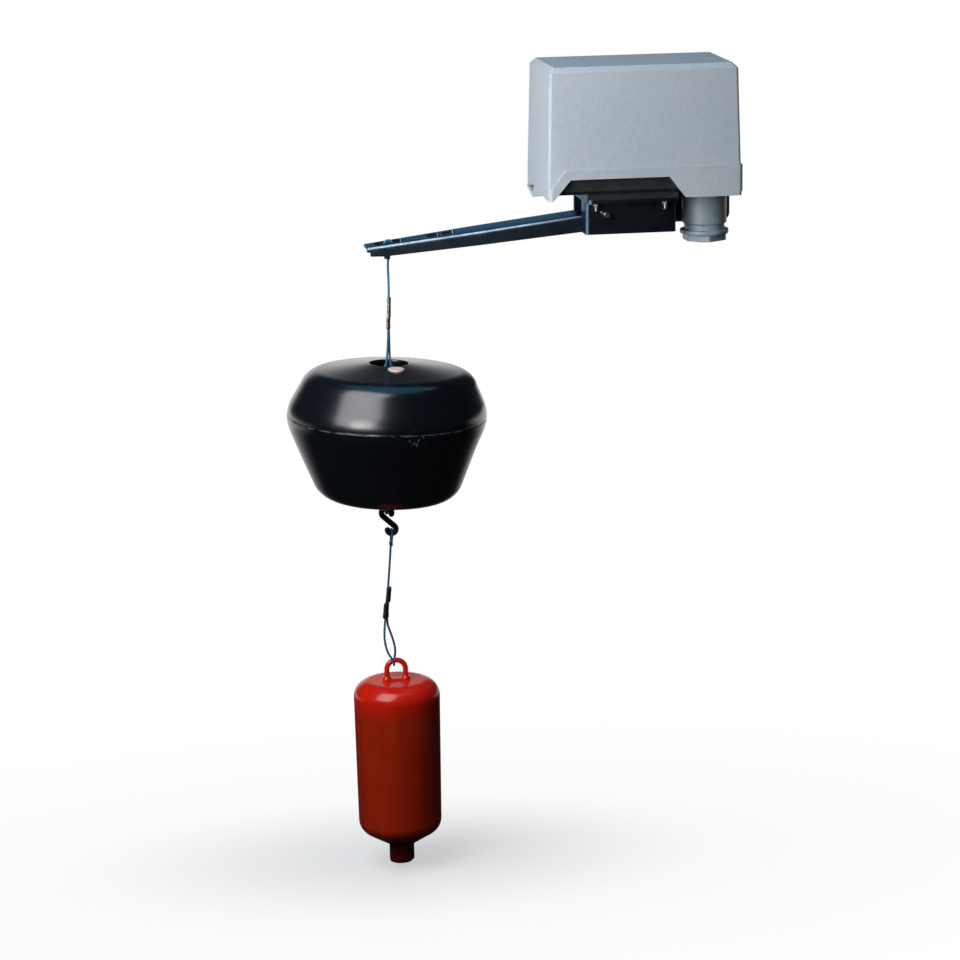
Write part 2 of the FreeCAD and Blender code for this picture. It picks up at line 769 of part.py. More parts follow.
def make_bushes():
    solids = []
    for side in (-1, 1):
        inner_face = side * (lever_half - lever_sheet)
        outer_face = side * (lever_half + bush_flange)
        bush = rod(pin_radius + bush_wall, (0, inner_face, 0), (0, outer_face, 0))
        bush = bush.fuse(rod(bush_flange_radius, (0, side * lever_half, 0), (0, outer_face, 0)))
        bore = rod(pin_radius + run_clearance, (0, -lever_half - 5, 0), (0, lever_half + 5, 0))
        solids.append(lever_to_frame(bush.cut(bore)))
    return solids


def make_pivot_pin():
    front = bracket_front - pin_proud
    pin = rod(pin_radius, (lever_pivot_x, front, lever_pivot_z), (lever_pivot_x, 0, lever_pivot_z))
    rim = [edge for edge in pin.Edges if edge.CenterOfMass.y < front + 0.01]
    return pin.makeChamfer(0.35, rim[:1]).cut(split_pin_hole())


def split_pin_frame(shape):
    """Puts a piece drawn along X about the origin into the pivot pin's cross hole."""
    copy = turned(shape, -split_pin_slope, 0, 0, 0)
    copy.translate(Vector(lever_pivot_x, bracket_front - pin_proud / 2 - 0.2, lever_pivot_z))
    return copy


def split_pin_hole():
    return split_pin_frame(rod(split_pin_radius + 0.02, (-5, 0, 0), (5, 0, 0)))


def make_split_pin():
    bend = split_pin_half - split_pin_ring
    shank = rod(split_pin_radius, (-split_pin_half, 0, 0), (bend, 0, 0))
    ring = Part.makeTorus(split_pin_ring, split_pin_radius,
                          Vector(-split_pin_half - split_pin_ring * 0.8, 0, 0), Vector(0, 1, 0))
    knee = Part.makeSphere(split_pin_radius, Vector(bend, 0, 0))
    legs = [rod(split_pin_radius, (bend, 0, 0), (split_pin_half, 0, side * split_pin_spread))
            for side in (-1, 1)]
    return split_pin_frame(joined([shank, ring, knee] + legs))


def make_spacer():
    start = bracket_front + steel
    end = lever_middle - lever_half - bush_flange - 0.15
    return tube(spacer_radius, pin_radius + run_clearance, (lever_pivot_x, start, lever_pivot_z),
                (lever_pivot_x, end, lever_pivot_z))


def make_pivot_washer():
    start = lever_middle + lever_half + bush_flange + 0.1
    return tube(spacer_radius + 0.6, pin_radius + run_clearance, (lever_pivot_x, start, lever_pivot_z),
                (lever_pivot_x, -steel, lever_pivot_z))


def make_tappet():
    bottom = lever_height(tappet_x) + tappet_gap
    return revolved([(0, bottom, 0), (tappet_radius, bottom, tappet_radius * 0.8),
                     (tappet_radius, tappet_top - 1.4, 0), (1.4, tappet_top - 1.4, 0),
                     (1.4, tappet_top, 0.5), (0, tappet_top, 0)], tappet_x, lever_middle)


def make_switch_block():
    y0, y1 = lever_middle - switch_width / 2, lever_middle + switch_width / 2
    x1 = switch_left + switch_length
    top = switch_bottom + switch_height
    bench, roof = top - switch_bench_drop, top - switch_raised_height
    bench_end = switch_left + switch_bench
    block = along_y([(switch_left, switch_bottom, 1.0), (x1, switch_bottom, 1.0), (x1, top, 1.5),
                     (x1 - switch_raised_end, top, 0.8), (x1 - switch_raised_end, roof, 0.4),
                     (bench_end + switch_bench_slope, roof, 0.4), (bench_end, bench, 0.8),
                     (switch_left, bench, 1.2)], y0, y1)
    for x, y in terminals_at():
        block = block.cut(box(x - 4.0, x + 3.5, y - terminal_half - 0.2, y + terminal_half + 0.2,
                              bench - terminal_recess, bench + 1))
    for k in range(terminal_count - 1):
        y = lever_middle + (k - (terminal_count - 2) / 2) * terminal_pitch
        block = block.fuse(box(switch_left + 0.6, switch_left + 12.4, y - 0.7, y + 0.7,
                               bench - 0.5, top - 2.0))
    block = block.removeSplitter()
    block = block.cut(rod(tappet_radius + 0.2, (tappet_x, lever_middle, switch_bottom - 1),
                          (tappet_x, lever_middle, tappet_top + 0.3)))
    for x, y in switch_screws_at():
        block = block.cut(rod(switch_screw_radius + 0.2, (x, y, switch_bottom - 1), (x, y, top + 1)))
        block = block.cut(rod(switch_screw_head + 0.2, (x, y, bench - switch_screw_recess), (x, y, top + 1)))
    return block


def terminals_at():
    first = lever_middle - (terminal_count - 1) / 2 * terminal_pitch
    return [(switch_left + terminal_from_end, first + k * terminal_pitch) for k in range(terminal_count)]


def terminal_level():
    return switch_bottom + switch_height - switch_bench_drop - terminal_recess


def make_terminal_clamps():
    base = terminal_level()
    return [box(x - 3.8, x + 3.3, y - terminal_half, y + terminal_half, base, base + 1.4).cut(
            rod(1.4, (x, y, base - 1), (x, y, base + 2))) for x, y in terminals_at()]


def make_terminal_screws():
    base = terminal_level()
    return [screw(x, y, base + 1.4, base, 1.4, terminal_screw_radius, 1.9, 0.7) for x, y in terminals_at()]


def make_switch_screws():
    seat = switch_bottom + switch_height - switch_bench_drop - switch_screw_recess
    return [screw(x, y, seat, base_inside + 1.0, switch_screw_radius - 0.03, switch_screw_head, 2.0, 0.7)
            for x, y in switch_screws_at()]


def seat_top():
    return lever_height(spring_x) + tappet_gap + 1.6 + seat_thickness


def make_bottom_seat():
    nose = lever_height(spring_x) + tappet_gap
    plate = nose + 1.6
    top = plate + seat_thickness
    return revolved([(0, nose, 0), (seat_nose, nose, 1.5), (seat_nose, plate, 0), (seat_radius, plate, 0.4),
                     (seat_radius, top, 0.4), (seat_spigot, top, 0),
                     (seat_spigot, top + seat_spigot_height, 0.8), (0, top + seat_spigot_height, 0)],
                    spring_x, lever_middle)


def make_spring():
    """Spring of square wire, wound between the two seats."""
    half = spring_wire / 2
    start = seat_top() + half + 0.1
    rise = spring_length - spring_wire - 0.2
    helix = Part.makeHelix(rise / spring_turns, rise, spring_mean_radius)
    helix.translate(Vector(spring_x, lever_middle, start))
    at = spring_x + spring_mean_radius
    section = Part.makePolygon([Vector(at + a * half, lever_middle, start + b * half)
                                for a, b in ((-1, -1), (1, -1), (1, 1), (-1, 1), (-1, -1))])
    return Part.Wire(helix.Edges).makePipeShell([section], True, True)


def make_top_seat():
    bottom = seat_top() + spring_length
    plate = revolved([(screw_radius, bottom, 0), (seat_radius, bottom, 0.4), (seat_radius, bottom + 3.0, 0.6),
                      (screw_radius, bottom + 3.0, 0)], spring_x, lever_middle)
    guide = tube(seat_spigot, screw_radius, (spring_x, lever_middle, bottom - 3.0),
                 (spring_x, lever_middle, bottom + 0.5))
    return joined([plate, guide])


def make_yoke():
    foot = base_inside
    top = foot + yoke_height
    half = yoke_gap / 2
    far = half + yoke_sheet + yoke_foot
    section = [(-far, foot, 0), (-half, foot, 0), (-half, top - yoke_sheet, 0.6),
               (half, top - yoke_sheet, 0.6),
               (half, foot, 0), (far, foot, 0), (far, foot + yoke_sheet, 0),
               (half + yoke_sheet, foot + yoke_sheet, 0.5), (half + yoke_sheet, top, 2.0),
               (-half - yoke_sheet, top, 2.0), (-half - yoke_sheet, foot + yoke_sheet, 0.5),
               (-far, foot + yoke_sheet, 0)]
    section = [(lever_middle + y, z, rounding) for y, z, rounding in section]
    yoke = along_x(section, spring_x - yoke_width / 2, spring_x + yoke_width / 2)
    yoke = yoke.cut(rod(screw_radius + 0.1, (spring_x, lever_middle, top - 5),
                        (spring_x, lever_middle, top + 1)))
    for x, y in yoke_screws_at():
        yoke = yoke.cut(rod(yoke_screw_radius + 0.1, (x, y, foot - 1), (x, y, foot + 3)))
    return yoke


def make_adjusting_screw():
    head = base_inside + yoke_height
    return screw(spring_x, lever_middle, head, seat_top() + spring_length * 0.7, screw_radius,
                 screw_head_radius, screw_head_height, 1.2)


def make_yoke_screws():
    head = base_inside + yoke_sheet
    return [screw(x, y, head, base_inside - yoke_screw_depth, yoke_screw_radius, yoke_screw_head,
                  yoke_screw_head_height, 0.7)
            for x, y in yoke_screws_at()]


def make_earth_plate():
    half = earth_plate_size / 2
    plate = along_z([(earth_x - half, earth_y - half, 1), (earth_x + half, earth_y - half, 1),
                     (earth_x + half, earth_y + half, 1), (earth_x - half, earth_y + half, 1)],
                    base_inside, base_inside + earth_plate_thickness)
    return plate.cut(rod(yoke_screw_radius, (earth_x, earth_y, base_inside - 1),
                         (earth_x, earth_y, base_inside + 3)))


def make_earth_screw():
    return screw(earth_x, earth_y, base_inside + earth_plate_thickness, base_inside - yoke_screw_depth,
                 yoke_screw_radius, 3.2, 2.2, 0.8)


def gland_shoulder():
    return base_bottom - gland_washer_thickness


def gland_nut_top():
    return gland_shoulder() - gland_body_length


def make_gland_washer():
    return tube(gland_seat_radius, gland_thread_radius + 0.2,
                (gland_x, gland_y, gland_shoulder()), (gland_x, gland_y, base_bottom))


def make_gland_body():
    top, low = gland_shoulder(), gland_nut_top()
    end = top + gland_thread_length
    shoulder = case_bottom - gland_gap
    return revolved([(gland_bore, low - gland_neck_length, 0),
                     (gland_neck_radius, low - gland_neck_length, 0.3),
                     (gland_neck_radius, low, 0), (gland_body_radius, low, 0.8),
                     (gland_body_radius, shoulder, 0.5), (gland_seat_radius, shoulder, 0),
                     (gland_seat_radius, top, 0), (gland_thread_radius, top, 0),
                     (gland_thread_radius, end, 0), (gland_bore, end, 0)], gland_x, gland_y)


def make_locknut():
    return hexagon(gland_x, gland_y, base_inside, base_inside + locknut_height, locknut_flats, 0.7).cut(
        rod(gland_thread_radius, (gland_x, gland_y, base_inside - 1),
            (gland_x, gland_y, base_inside + locknut_height + 1)))


def make_gland_nut():
    top = gland_nut_top()
    bottom = top - gland_nut_height
    ring_top = top - gland_collar_height
    ring_low = ring_top - gland_ring_height
    inner = gland_neck_radius + run_clearance
    collar = revolved([(inner, ring_low, 0), (gland_ring_radius, ring_low, 0.5),
                       (gland_ring_radius, ring_top, 0.5),
                       (gland_collar_radius, ring_top, 0), (gland_collar_radius, top - 0.1, 0),
                       (inner, top - 0.1, 0)], gland_x, gland_y)
    hexed = hexagon(gland_x, gland_y, bottom, ring_low + 0.5, gland_hex_radius * 2 * cos(pi / 6), 0.6)
    hexed = hexed.cut(rod(inner, (gland_x, gland_y, bottom + gland_floor), (gland_x, gland_y, top)))
    hexed = hexed.cut(rod(seal_lip_radius + 0.05, (gland_x, gland_y, bottom - 1), (gland_x, gland_y, top)))
    return joined([collar, hexed])


def make_gland_seal():
    bottom = gland_nut_top() - gland_nut_height
    seat = bottom + gland_floor
    top = gland_nut_top() - gland_neck_length
    return revolved([(seal_bore, bottom - seal_lip, 0), (seal_lip_radius, bottom - seal_lip, 0.5),
                     (seal_lip_radius, seat, 0), (gland_neck_radius, seat, 0), (gland_neck_radius, top, 0),
                     (seal_bore, top, 0)], gland_x, gland_y)


def sleeve(route, down, up, top, tubes):
    """Crimped ferrule: two barrels side by side, pressed onto the run going down and the one coming up."""
    barrels = []
    for run in (down, up):
        barrel = rod(ferrule_radius, route_at(route, *run, top - ferrule_length), route_at(route, *run, top))
        barrels.append(barrel.makeChamfer(0.2, [edge for edge in barrel.Edges if len(edge.Vertexes) == 1]))
    return joined(barrels).cut(tubes)


def winding(route, end, run, tubes):
    """Short barrels of wire wound round the rope's own end and the run beside it, under the loop."""
    middle, half = (route[end][2] + route[run][2]) / 2, winding_length / 2
    barrels = [rod(winding_radius, (x, y, middle - half), (x, y, middle + half))
               for x, y, z in (route[end], route[run])]
    return joined(barrels).cut(tubes)


def float_corners(inset):
    """Outer profile of the float as (radius, z, rounding), or one moved inwards by a wall."""
    top = float_equator + float_top
    shoulder = float_equator + float_shoulder
    bottom = float_equator - float_bottom
    corners = [(recess_radius, top, 0), (float_shoulder_radius, shoulder, float_shoulder_round),
               (float_corner_radius, float_equator, float_equator_round),
               (float_bottom_radius, bottom, float_bottom_round), (0, bottom, 0)]
    if not inset:
        return corners
    up, low = float_upper_lean, float_lower_lean
    low_r = float_bottom_radius + inset * (tan(low) - 1 / cos(low))
    equator_r = float_corner_radius - inset / cos((up + low) / 2)
    shoulder_z = shoulder - inset
    shoulder_r = equator_r - (shoulder_z - float_equator) * tan(up)
    return [(0, shoulder_z + shoulder_r * tan(float_top_slope), 0),
            (shoulder_r, shoulder_z, float_shoulder_round - inset),
            (equator_r, float_equator, float_equator_round - inset),
            (low_r, bottom + inset, float_bottom_round - inset), (0, bottom + inset, 0)]


def hang_float(shape):
    return turned(shape, float_tilt, float_x, float_y, float_equator)


def float_shell():
    top = float_equator + float_top
    cup_floor = top - recess_depth
    outer = revolved([(0, cup_floor, 0), (recess_radius, cup_floor, 2.0)] + float_corners(0), float_x,
                     float_y)
    cavity = revolved(float_corners(float_wall), float_x, float_y)
    cup = rod(recess_radius + float_wall, (float_x, float_y, cup_floor - float_wall),
              (float_x, float_y, top + 5))
    core = rod(hub_tube_radius, (float_x, float_y, float_equator - float_bottom),
               (float_x, float_y, cup_floor))
    cavity = cavity.cut(cup).cut(core)
    bore = rod(rod_radius + rod_clearance, (float_x, float_y, float_equator - float_bottom - 5),
               (float_x, float_y, top))
    return outer.cut(cavity).cut(bore)


def make_float_halves():
    shell = float_shell()
    seam = float_equator + float_seam
    reach = float_corner_radius + 5
    upper = box(float_x - reach, float_x + reach, float_y - reach, float_y + reach, seam,
                float_equator + float_top + 1)
    groove = seam_groove(seam)
    plug = plug_hole()
    return hang_float(shell.common(upper).cut(groove).cut(plug)), hang_float(shell.cut(upper).cut(groove))


def seam_groove(seam):
    """Thin V-shaped line round the float where its halves are welded."""
    turn = (float_upper_lean + float_lower_lean) / 2
    at = float_corner_radius - float_equator_round * (1 / cos(turn) - 1)
    depth, half = float_seam_groove, float_seam_groove
    return revolved([(at - depth, seam, 0), (at + 1, seam - half * (1 + 1 / depth), 0),
                     (at + 1, seam + half * (1 + 1 / depth), 0)], float_x, float_y)


def plug_seat():
    """Middle of the filler plug on the float's upper face, with the face's slope."""
    radius = hypot(plug_offset_x, plug_offset_y)
    height = float_equator + float_top - (radius - recess_radius) * tan(float_top_slope)
    return Vector(float_x + plug_offset_x, float_y + plug_offset_y, height)


def plug_hole():
    seat = plug_seat()
    stem = rod(plug_stem + 1.0, (seat.x, seat.y, seat.z - 10), (seat.x, seat.y, seat.z + 5))
    return stem.fuse(rod(plug_radius, (seat.x, seat.y, seat.z - 1.2), (seat.x, seat.y, seat.z + 5)))


def make_plug():
    seat = plug_seat()
    plug = revolved([(0, seat.z - 6.0, 0), (plug_stem + 0.9, seat.z - 6.0, 0.5),
                     (plug_stem + 0.9, seat.z - 1.2, 0),
                     (plug_radius - 0.1, seat.z - 1.2, 0), (plug_radius - 0.1, seat.z + plug_proud, 0.5),
                     (0, seat.z + plug_proud, 0)], seat.x, seat.y)
    return hang_float(plug)


def make_float_rod():
    high = float_equator + top_eye - top_eye_radius
    low = float_equator - bottom_eye + bottom_eye_radius
    straight = rod(rod_radius, (float_x, float_y, low + bottom_eye_radius),
                   (float_x, float_y, high - top_eye_radius))
    sizes = ((top_eye_radius, top_eye_wire, high), (bottom_eye_radius, bottom_eye_wire, low))
    eyes = [Part.makeTorus(ring, wire, Vector(float_x, float_y, z), Vector(1, 0, 0))
            for ring, wire, z in sizes]
    return hang_float(joined([straight] + eyes))


def make_hook():
    """S-hook: an upper loop over the float's lower eye, a straight neck and a lower loop."""
    top_x, top_z = bottom_eye_x, bottom_eye_z
    run_x, run_z = hook_low_x - top_x, hook_low_z - top_z
    bearing = atan2(run_z, run_x)
    leave = bearing - acos((hook_top_radius + hook_low_radius) / hypot(run_x, run_z))

    def on_top(angle):
        return Vector(top_x + hook_top_radius * cos(angle), float_y, top_z + hook_top_radius * sin(angle))

    def on_low(angle):
        return Vector(hook_low_x + hook_low_radius * cos(angle), float_y,
                      hook_low_z + hook_low_radius * sin(angle))

    start, meet = radians(hook_top_tip), leave + 2 * pi
    arrive, finish = leave + pi, radians(hook_low_tip)
    upper = Part.Arc(on_top(start), on_top((start + meet) / 2), on_top(meet)).toShape()
    neck = Part.LineSegment(on_top(meet), on_low(arrive)).toShape()
    lower = Part.Arc(on_low(arrive), on_low((arrive + finish) / 2), on_low(finish)).toShape()
    hook = swept([upper, neck, lower], hook_wire)
    tips = [Part.makeSphere(hook_wire, on_top(start)), Part.makeSphere(hook_wire, on_low(finish))]
    return joined([hook] + tips)


def hang_weight(shape):
    return turned(shape, weight_tilt, weight_x, weight_y, weight_eye_top)


def make_weight():
    outer = revolved([(0, weight_bottom, 0), (weight_neck_radius, weight_bottom, 0.9),
                      (weight_neck_radius, weight_neck_top, 2.0),
                      (weight_low_radius, weight_side_end, weight_side_round),
                      (weight_radius, weight_top, weight_shoulder_round), (0, weight_top, 0)],
                     weight_x, weight_y)
    arch_z = weight_eye_top - weight_eye_radius
    left, right = weight_x - weight_eye_radius, weight_x + weight_eye_radius
    foot = weight_top - 2.0
    arch = [Part.LineSegment(Vector(left, weight_y, foot), Vector(left, weight_y, arch_z)).toShape(),
            Part.Arc(Vector(left, weight_y, arch_z), Vector(weight_x, weight_y, weight_eye_top),
                     Vector(right, weight_y, arch_z)).toShape(),
            Part.LineSegment(Vector(right, weight_y, arch_z), Vector(right, weight_y, foot)).toShape()]
    half, width = eye_pad_length / 2, eye_pad_width / 2
    pad = along_z([(weight_x - half, weight_y - width, 2.0), (weight_x + half, weight_y - width, 2.0),
                   (weight_x + half, weight_y + width, 2.0), (weight_x - half, weight_y + width, 2.0)],
                  weight_top - 1, weight_top + eye_pad_height)
    body = joined([outer, swept(arch, eye_wire), pad])
    return hang_weight(body.cut(weight_hollow()))


def weight_hollow():
    """Room inside the weight, with the bore of its neck."""
    slope = (weight_neck_radius - weight_low_radius) / (weight_neck_top - weight_side_end)
    wall = weight_wall
    low = weight_neck_top + wall * 1.3
    throat_r = neck_bore
    side_r = weight_low_radius - wall
    side_z = low + (side_r - throat_r) / slope
    return revolved([(0, weight_bottom - 1, 0), (throat_r, weight_bottom - 1, 0), (throat_r, low, 1.0),
                     (side_r, side_z, weight_side_round - wall),
                     (weight_radius - wall, weight_top - wall, weight_shoulder_round - wall),
                     (0, weight_top - wall, 0)], weight_x, weight_y)


def make_fill():
    reach = weight_radius + 1
    stopper_top = weight_bottom + stopper_length
    room = box(weight_x - reach, weight_x + reach, weight_y - reach, weight_y + reach, stopper_top,
               weight_top - 12)
    return hang_weight(weight_hollow().common(room))


def make_stopper():
    return hang_weight(revolved([(0, weight_bottom - stopper_flange, 0),
                                 (weight_neck_radius - 0.6, weight_bottom - stopper_flange, 0.4),
                                 (weight_neck_radius - 0.6, weight_bottom, 0), (neck_bore, weight_bottom, 0),
                                 (neck_bore, weight_bottom + stopper_length, 0.4),
                                 (0, weight_bottom + stopper_length, 0)], weight_x, weight_y))


def route_at(route, first, second, z):
    """Point of the route's straight run between two of its points at height z."""
    a, b = route[first], route[second]
    share = (z - a[2]) / (b[2] - a[2])
    return tuple(a[k] + (b[k] - a[k]) * share for k in range(3))


def placed(x, y, z, offsets):
    return [(x + dx, y + dy, z + dz) for dx, dy, dz in offsets]


os.makedirs("parts", exist_ok=True)
upper_route = (placed(bar_x, lever_middle, bar_z, upper_from_bar)
               + placed(top_eye_x, lever_middle, top_eye_z, upper_from_eye))
lower_route = (placed(hook_low_x, lever_middle, hook_low_z, lower_from_hook)
               + placed(weight_x, lever_middle, weight_eye_top, lower_from_eye))
upper_rope = rope("upper_rope", upper_route)
lower_rope = rope("lower_rope", lower_route)
upper_ferrule = sleeve(upper_route, (6, 7), (12, 13), bar_z - upper_ferrule_drop, upper_rope)
lower_ferrule = sleeve(lower_route, (6, 7), (16, 17), hook_low_z - lower_ferrule_drop, lower_rope)
float_upper, float_lower = make_float_halves()

nodes = {
    "cover": make_cover(),
    "cover_gasket": make_gasket(),
    "cover_screw": make_cover_screw(),
    "base_tray": make_base(),
    "bracket": make_bracket(),
    "bracket_screws": make_bracket_screws(),
    "bracket_nuts": make_bracket_nuts(),
    "pivot_pin": make_pivot_pin(),
    "split_pin": make_split_pin(),
    "pivot_spacer": make_spacer(),
    "pivot_washer": make_pivot_washer(),
    "switch_block": make_switch_block(),
    "switch_screws": make_switch_screws(),
    "terminal_clamps": make_terminal_clamps(),
    "terminal_screws": make_terminal_screws(),
    "spring_yoke": make_yoke(),
    "yoke_screws": make_yoke_screws(),
    "adjusting_screw": make_adjusting_screw(),
    "spring_top_seat": make_top_seat(),
    "main_spring": make_spring(),
    "earth_plate": make_earth_plate(),
    "earth_screw": make_earth_screw(),
    "gland_washer": make_gland_washer(),
    "gland_body": make_gland_body(),
    "gland_locknut": make_locknut(),
    "gland_seal": make_gland_seal(),
    "gland_nut": make_gland_nut(),
    "lever_arm": make_lever(),
    "pivot_bushes": make_bushes(),
    "switch_tappet": make_tappet(),
    "spring_bottom_seat": make_bottom_seat(),
    "upper_rope": upper_rope,
    "upper_ferrule": upper_ferrule,
    "upper_winding": winding(upper_route, 0, 5, upper_rope),
    "float_top_half": float_upper,
    "float_bottom_half": float_lower,
    "float_plug": make_plug(),
    "float_rod": make_float_rod(),
    "hook": make_hook(),
    "lower_rope": lower_rope,
    "lower_ferrule": lower_ferrule,
    "lower_winding": winding(lower_route, 0, 5, lower_rope),
    "weight_body": make_weight(),
    "weight_fill": make_fill(),
    "weight_stopper": make_stopper(),
}

for name, made in nodes.items():
    shape = Part.makeCompound(made) if isinstance(made, list) else made
    solids = shape.Solids
    state = "ok" if all(solid.isValid() and solid.isClosed() for solid in solids) else "BAD"
    print(name, "solids", len(solids), "volume %.1f" % sum(solid.Volume for solid in solids), state)
    shape = solids[0] if len(solids) == 1 else Part.makeCompound(solids)
    shape.exportStep("parts/%s.step" % name)
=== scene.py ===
import bmesh
import bpy
import numpy as np
from math import pi, radians, cos, sin, tan, atan2
from mathutils import Matrix, Vector


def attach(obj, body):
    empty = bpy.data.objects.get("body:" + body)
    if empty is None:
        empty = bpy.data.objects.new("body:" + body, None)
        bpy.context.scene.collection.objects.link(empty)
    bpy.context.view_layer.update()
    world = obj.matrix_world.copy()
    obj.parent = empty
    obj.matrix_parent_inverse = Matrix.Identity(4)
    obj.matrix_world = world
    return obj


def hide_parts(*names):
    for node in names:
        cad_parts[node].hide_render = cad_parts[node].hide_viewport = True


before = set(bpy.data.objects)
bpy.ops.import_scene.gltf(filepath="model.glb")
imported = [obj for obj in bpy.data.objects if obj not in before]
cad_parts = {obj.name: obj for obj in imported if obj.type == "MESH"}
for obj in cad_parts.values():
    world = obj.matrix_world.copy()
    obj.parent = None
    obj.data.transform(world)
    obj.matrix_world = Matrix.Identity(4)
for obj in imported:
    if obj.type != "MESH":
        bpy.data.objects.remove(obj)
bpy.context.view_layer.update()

mm = 0.001
tiny = 1e-9    # lengths below this count as nothing
print("frame loaded:", len(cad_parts), "nodes")


# colour and node helpers

def srgb(code):
    # sRGB hex to linear: c/12.92 below 0.04045, else ((c+0.055)/1.055)^2.4
    c = np.array([int(code[i:i + 2], 16) for i in (1, 3, 5)]) / 255
    lin = np.where(c <= 0.04045, c / 12.92, ((c + 0.055) / 1.055) ** 2.4)
    return (*[float(v) for v in lin], 1.0)


def addNode(tree, kind, inputs=None, **settings):
    # one node: settings are its properties, inputs its values or the sockets that feed it
    node = tree.nodes.new("ShaderNode" + kind)
    for key, value in settings.items():
        setattr(node, key, value)
    for key, value in (inputs or {}).items():
        socket = node.inputs[key]
        if isinstance(value, bpy.types.NodeSocket):
            tree.links.new(value, socket)
        else:
            socket.default_value = value
    return node


def maths(tree, operation, *values):
    # one Math node on one or two values or sockets
    return addNode(tree, "Math", dict(enumerate(values)), operation=operation).outputs[0]


def axes(tree, vector):
    # the x, y and z of a vector socket
    return addNode(tree, "SeparateXYZ", {0: vector}).outputs


def newFinish(name):
    # an empty material with its Principled shader
    material = bpy.data.materials.new(name)
    material.use_nodes = True
    tree = material.node_tree
    shader = tree.nodes["Principled BSDF"]
    place = addNode(tree, "TexCoord").outputs["Object"]
    return material, tree, shader, place


def speckle(tree, place, size, detail):
    # a noise whose grains are `size` metres across
    return addNode(tree, "TexNoise", {"Vector": place, "Scale": 1 / size, "Detail": detail}).outputs[0]


def mixed(tree, amount, one, other):
    # one colour, with as much of the other as the amount says
    node = addNode(tree, "Mix", {"Factor": amount}, data_type="RGBA")
    for socket, colour in ((node.inputs[6], one), (node.inputs[7], other)):
        if isinstance(colour, bpy.types.NodeSocket):
            tree.links.new(colour, socket)
        else:
            socket.default_value = colour
    return node.outputs[2]


def spread(tree, value, low, high, fromLow=0.3, fromHigh=0.7):
    # stretches fromLow..fromHigh to low..high
    return addNode(tree, "MapRange", {0: value, 1: fromLow, 2: fromHigh, 3: low, 4: high}).outputs[0]


def relief(tree, shader, height, depth, strength):
    # bump on the shader's normal, depth in metres
    bump = addNode(tree, "Bump", {"Height": height, "Distance": depth, "Strength": strength})
    tree.links.new(bump.outputs[0], shader.inputs["Normal"])


def paint(nodeName, material):
    # one material over a whole node of the CAD model
    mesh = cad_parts[nodeName].data
    mesh.materials.clear()
    mesh.materials.append(material)


# mesh helpers

def makePiece(name, points, faces, material, body):
    # a smooth-shaded object that rides on one body
    mesh = bpy.data.meshes.new(name)
    mesh.from_pydata(points.tolist(), [], faces.tolist() if hasattr(faces, "tolist") else faces)
    mesh.materials.append(material)
    mesh.polygons.foreach_set("use_smooth", np.full(len(mesh.polygons), True))
    mesh.update()
    obj = bpy.data.objects.new(name, mesh)
    bpy.context.scene.collection.objects.link(obj)
    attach(obj, body)
    return obj


def gridFaces(rows, columns, wrapRows, wrapColumns):
    # quads of a rows x columns grid of points; a wrapped side joins its last line to its first
    i, j = np.meshgrid(np.arange(rows if wrapRows else rows - 1),
                       np.arange(columns if wrapColumns else columns - 1), indexing="ij")
    i2, j2 = (i + 1) % rows, (j + 1) % columns
    quads = np.stack([i * columns + j, i2 * columns + j, i2 * columns + j2, i * columns + j2], -1)
    return quads.reshape(-1, 4)


def joinParts(parts):
    # parts are (points, faces) pairs; their faces are renumbered into one mesh
    points, faces, start = [], [], 0
    for p, f in parts:
        p = p.reshape(-1, 3)
        points.append(p)
        faces += [[k + start for k in face] for face in (f if isinstance(f, list) else f.tolist())]
        start += len(p)
    return np.concatenate(points), faces


def turned(profile, steps):
    # surface of revolution: (r cos a, r sin a, z) for each (r, z) of a closed profile, a once round
    profile = np.asarray(profile, float)
    a = np.linspace(0, 2 * pi, steps, endpoint=False)
    r, z = profile[:, 0][:, None], profile[:, 1][:, None]
    return np.stack([r * np.cos(a), r * np.sin(a), z + 0 * a], -1)


def rounded(corners, steps, closed=True):
    # corners are (a, b, radius): each corner becomes an arc tangent to its two sides
    corners = [tuple(map(float, c)) for c in corners]
    line = []
    for k, (a, b, r) in enumerate(corners):
        here = np.array([a, b])
        back = np.array(corners[k - 1][:2]) - here
        ahead = np.array(corners[(k + 1) % len(corners)][:2]) - here
        if r < tiny or (not closed and k in (0, len(corners) - 1)):
            line.append(here)
            continue
        back, ahead = back / np.linalg.norm(back), ahead / np.linalg.norm(ahead)
        half = np.arccos(np.clip(back @ ahead, -1, 1)) / 2
        middle = here + (back + ahead) / np.linalg.norm(back + ahead) * r / np.sin(half)
        start, end = here + back * r / np.tan(half) - middle, here + ahead * r / np.tan(half) - middle
        span = np.arccos(np.clip(start @ end / r ** 2, -1, 1))
        for t in np.linspace(0, 1, steps):
            line.append(middle + (np.sin((1 - t) * span) * start + np.sin(t * span) * end) / np.sin(span))
    return np.array(line)


def refined(line, step):
    # adds points so that no stretch of a closed profile is longer than step
    line = np.asarray(line, float)
    parts = []
    for here, there in zip(line, np.roll(line, -1, axis=0)):
        length = np.linalg.norm(there - here)
        if length > tiny:
            share = np.linspace(0, 1, max(1, int(np.ceil(length / step))), endpoint=False)
            parts.append(here + (there - here) * share[:, None])
    return np.concatenate(parts)


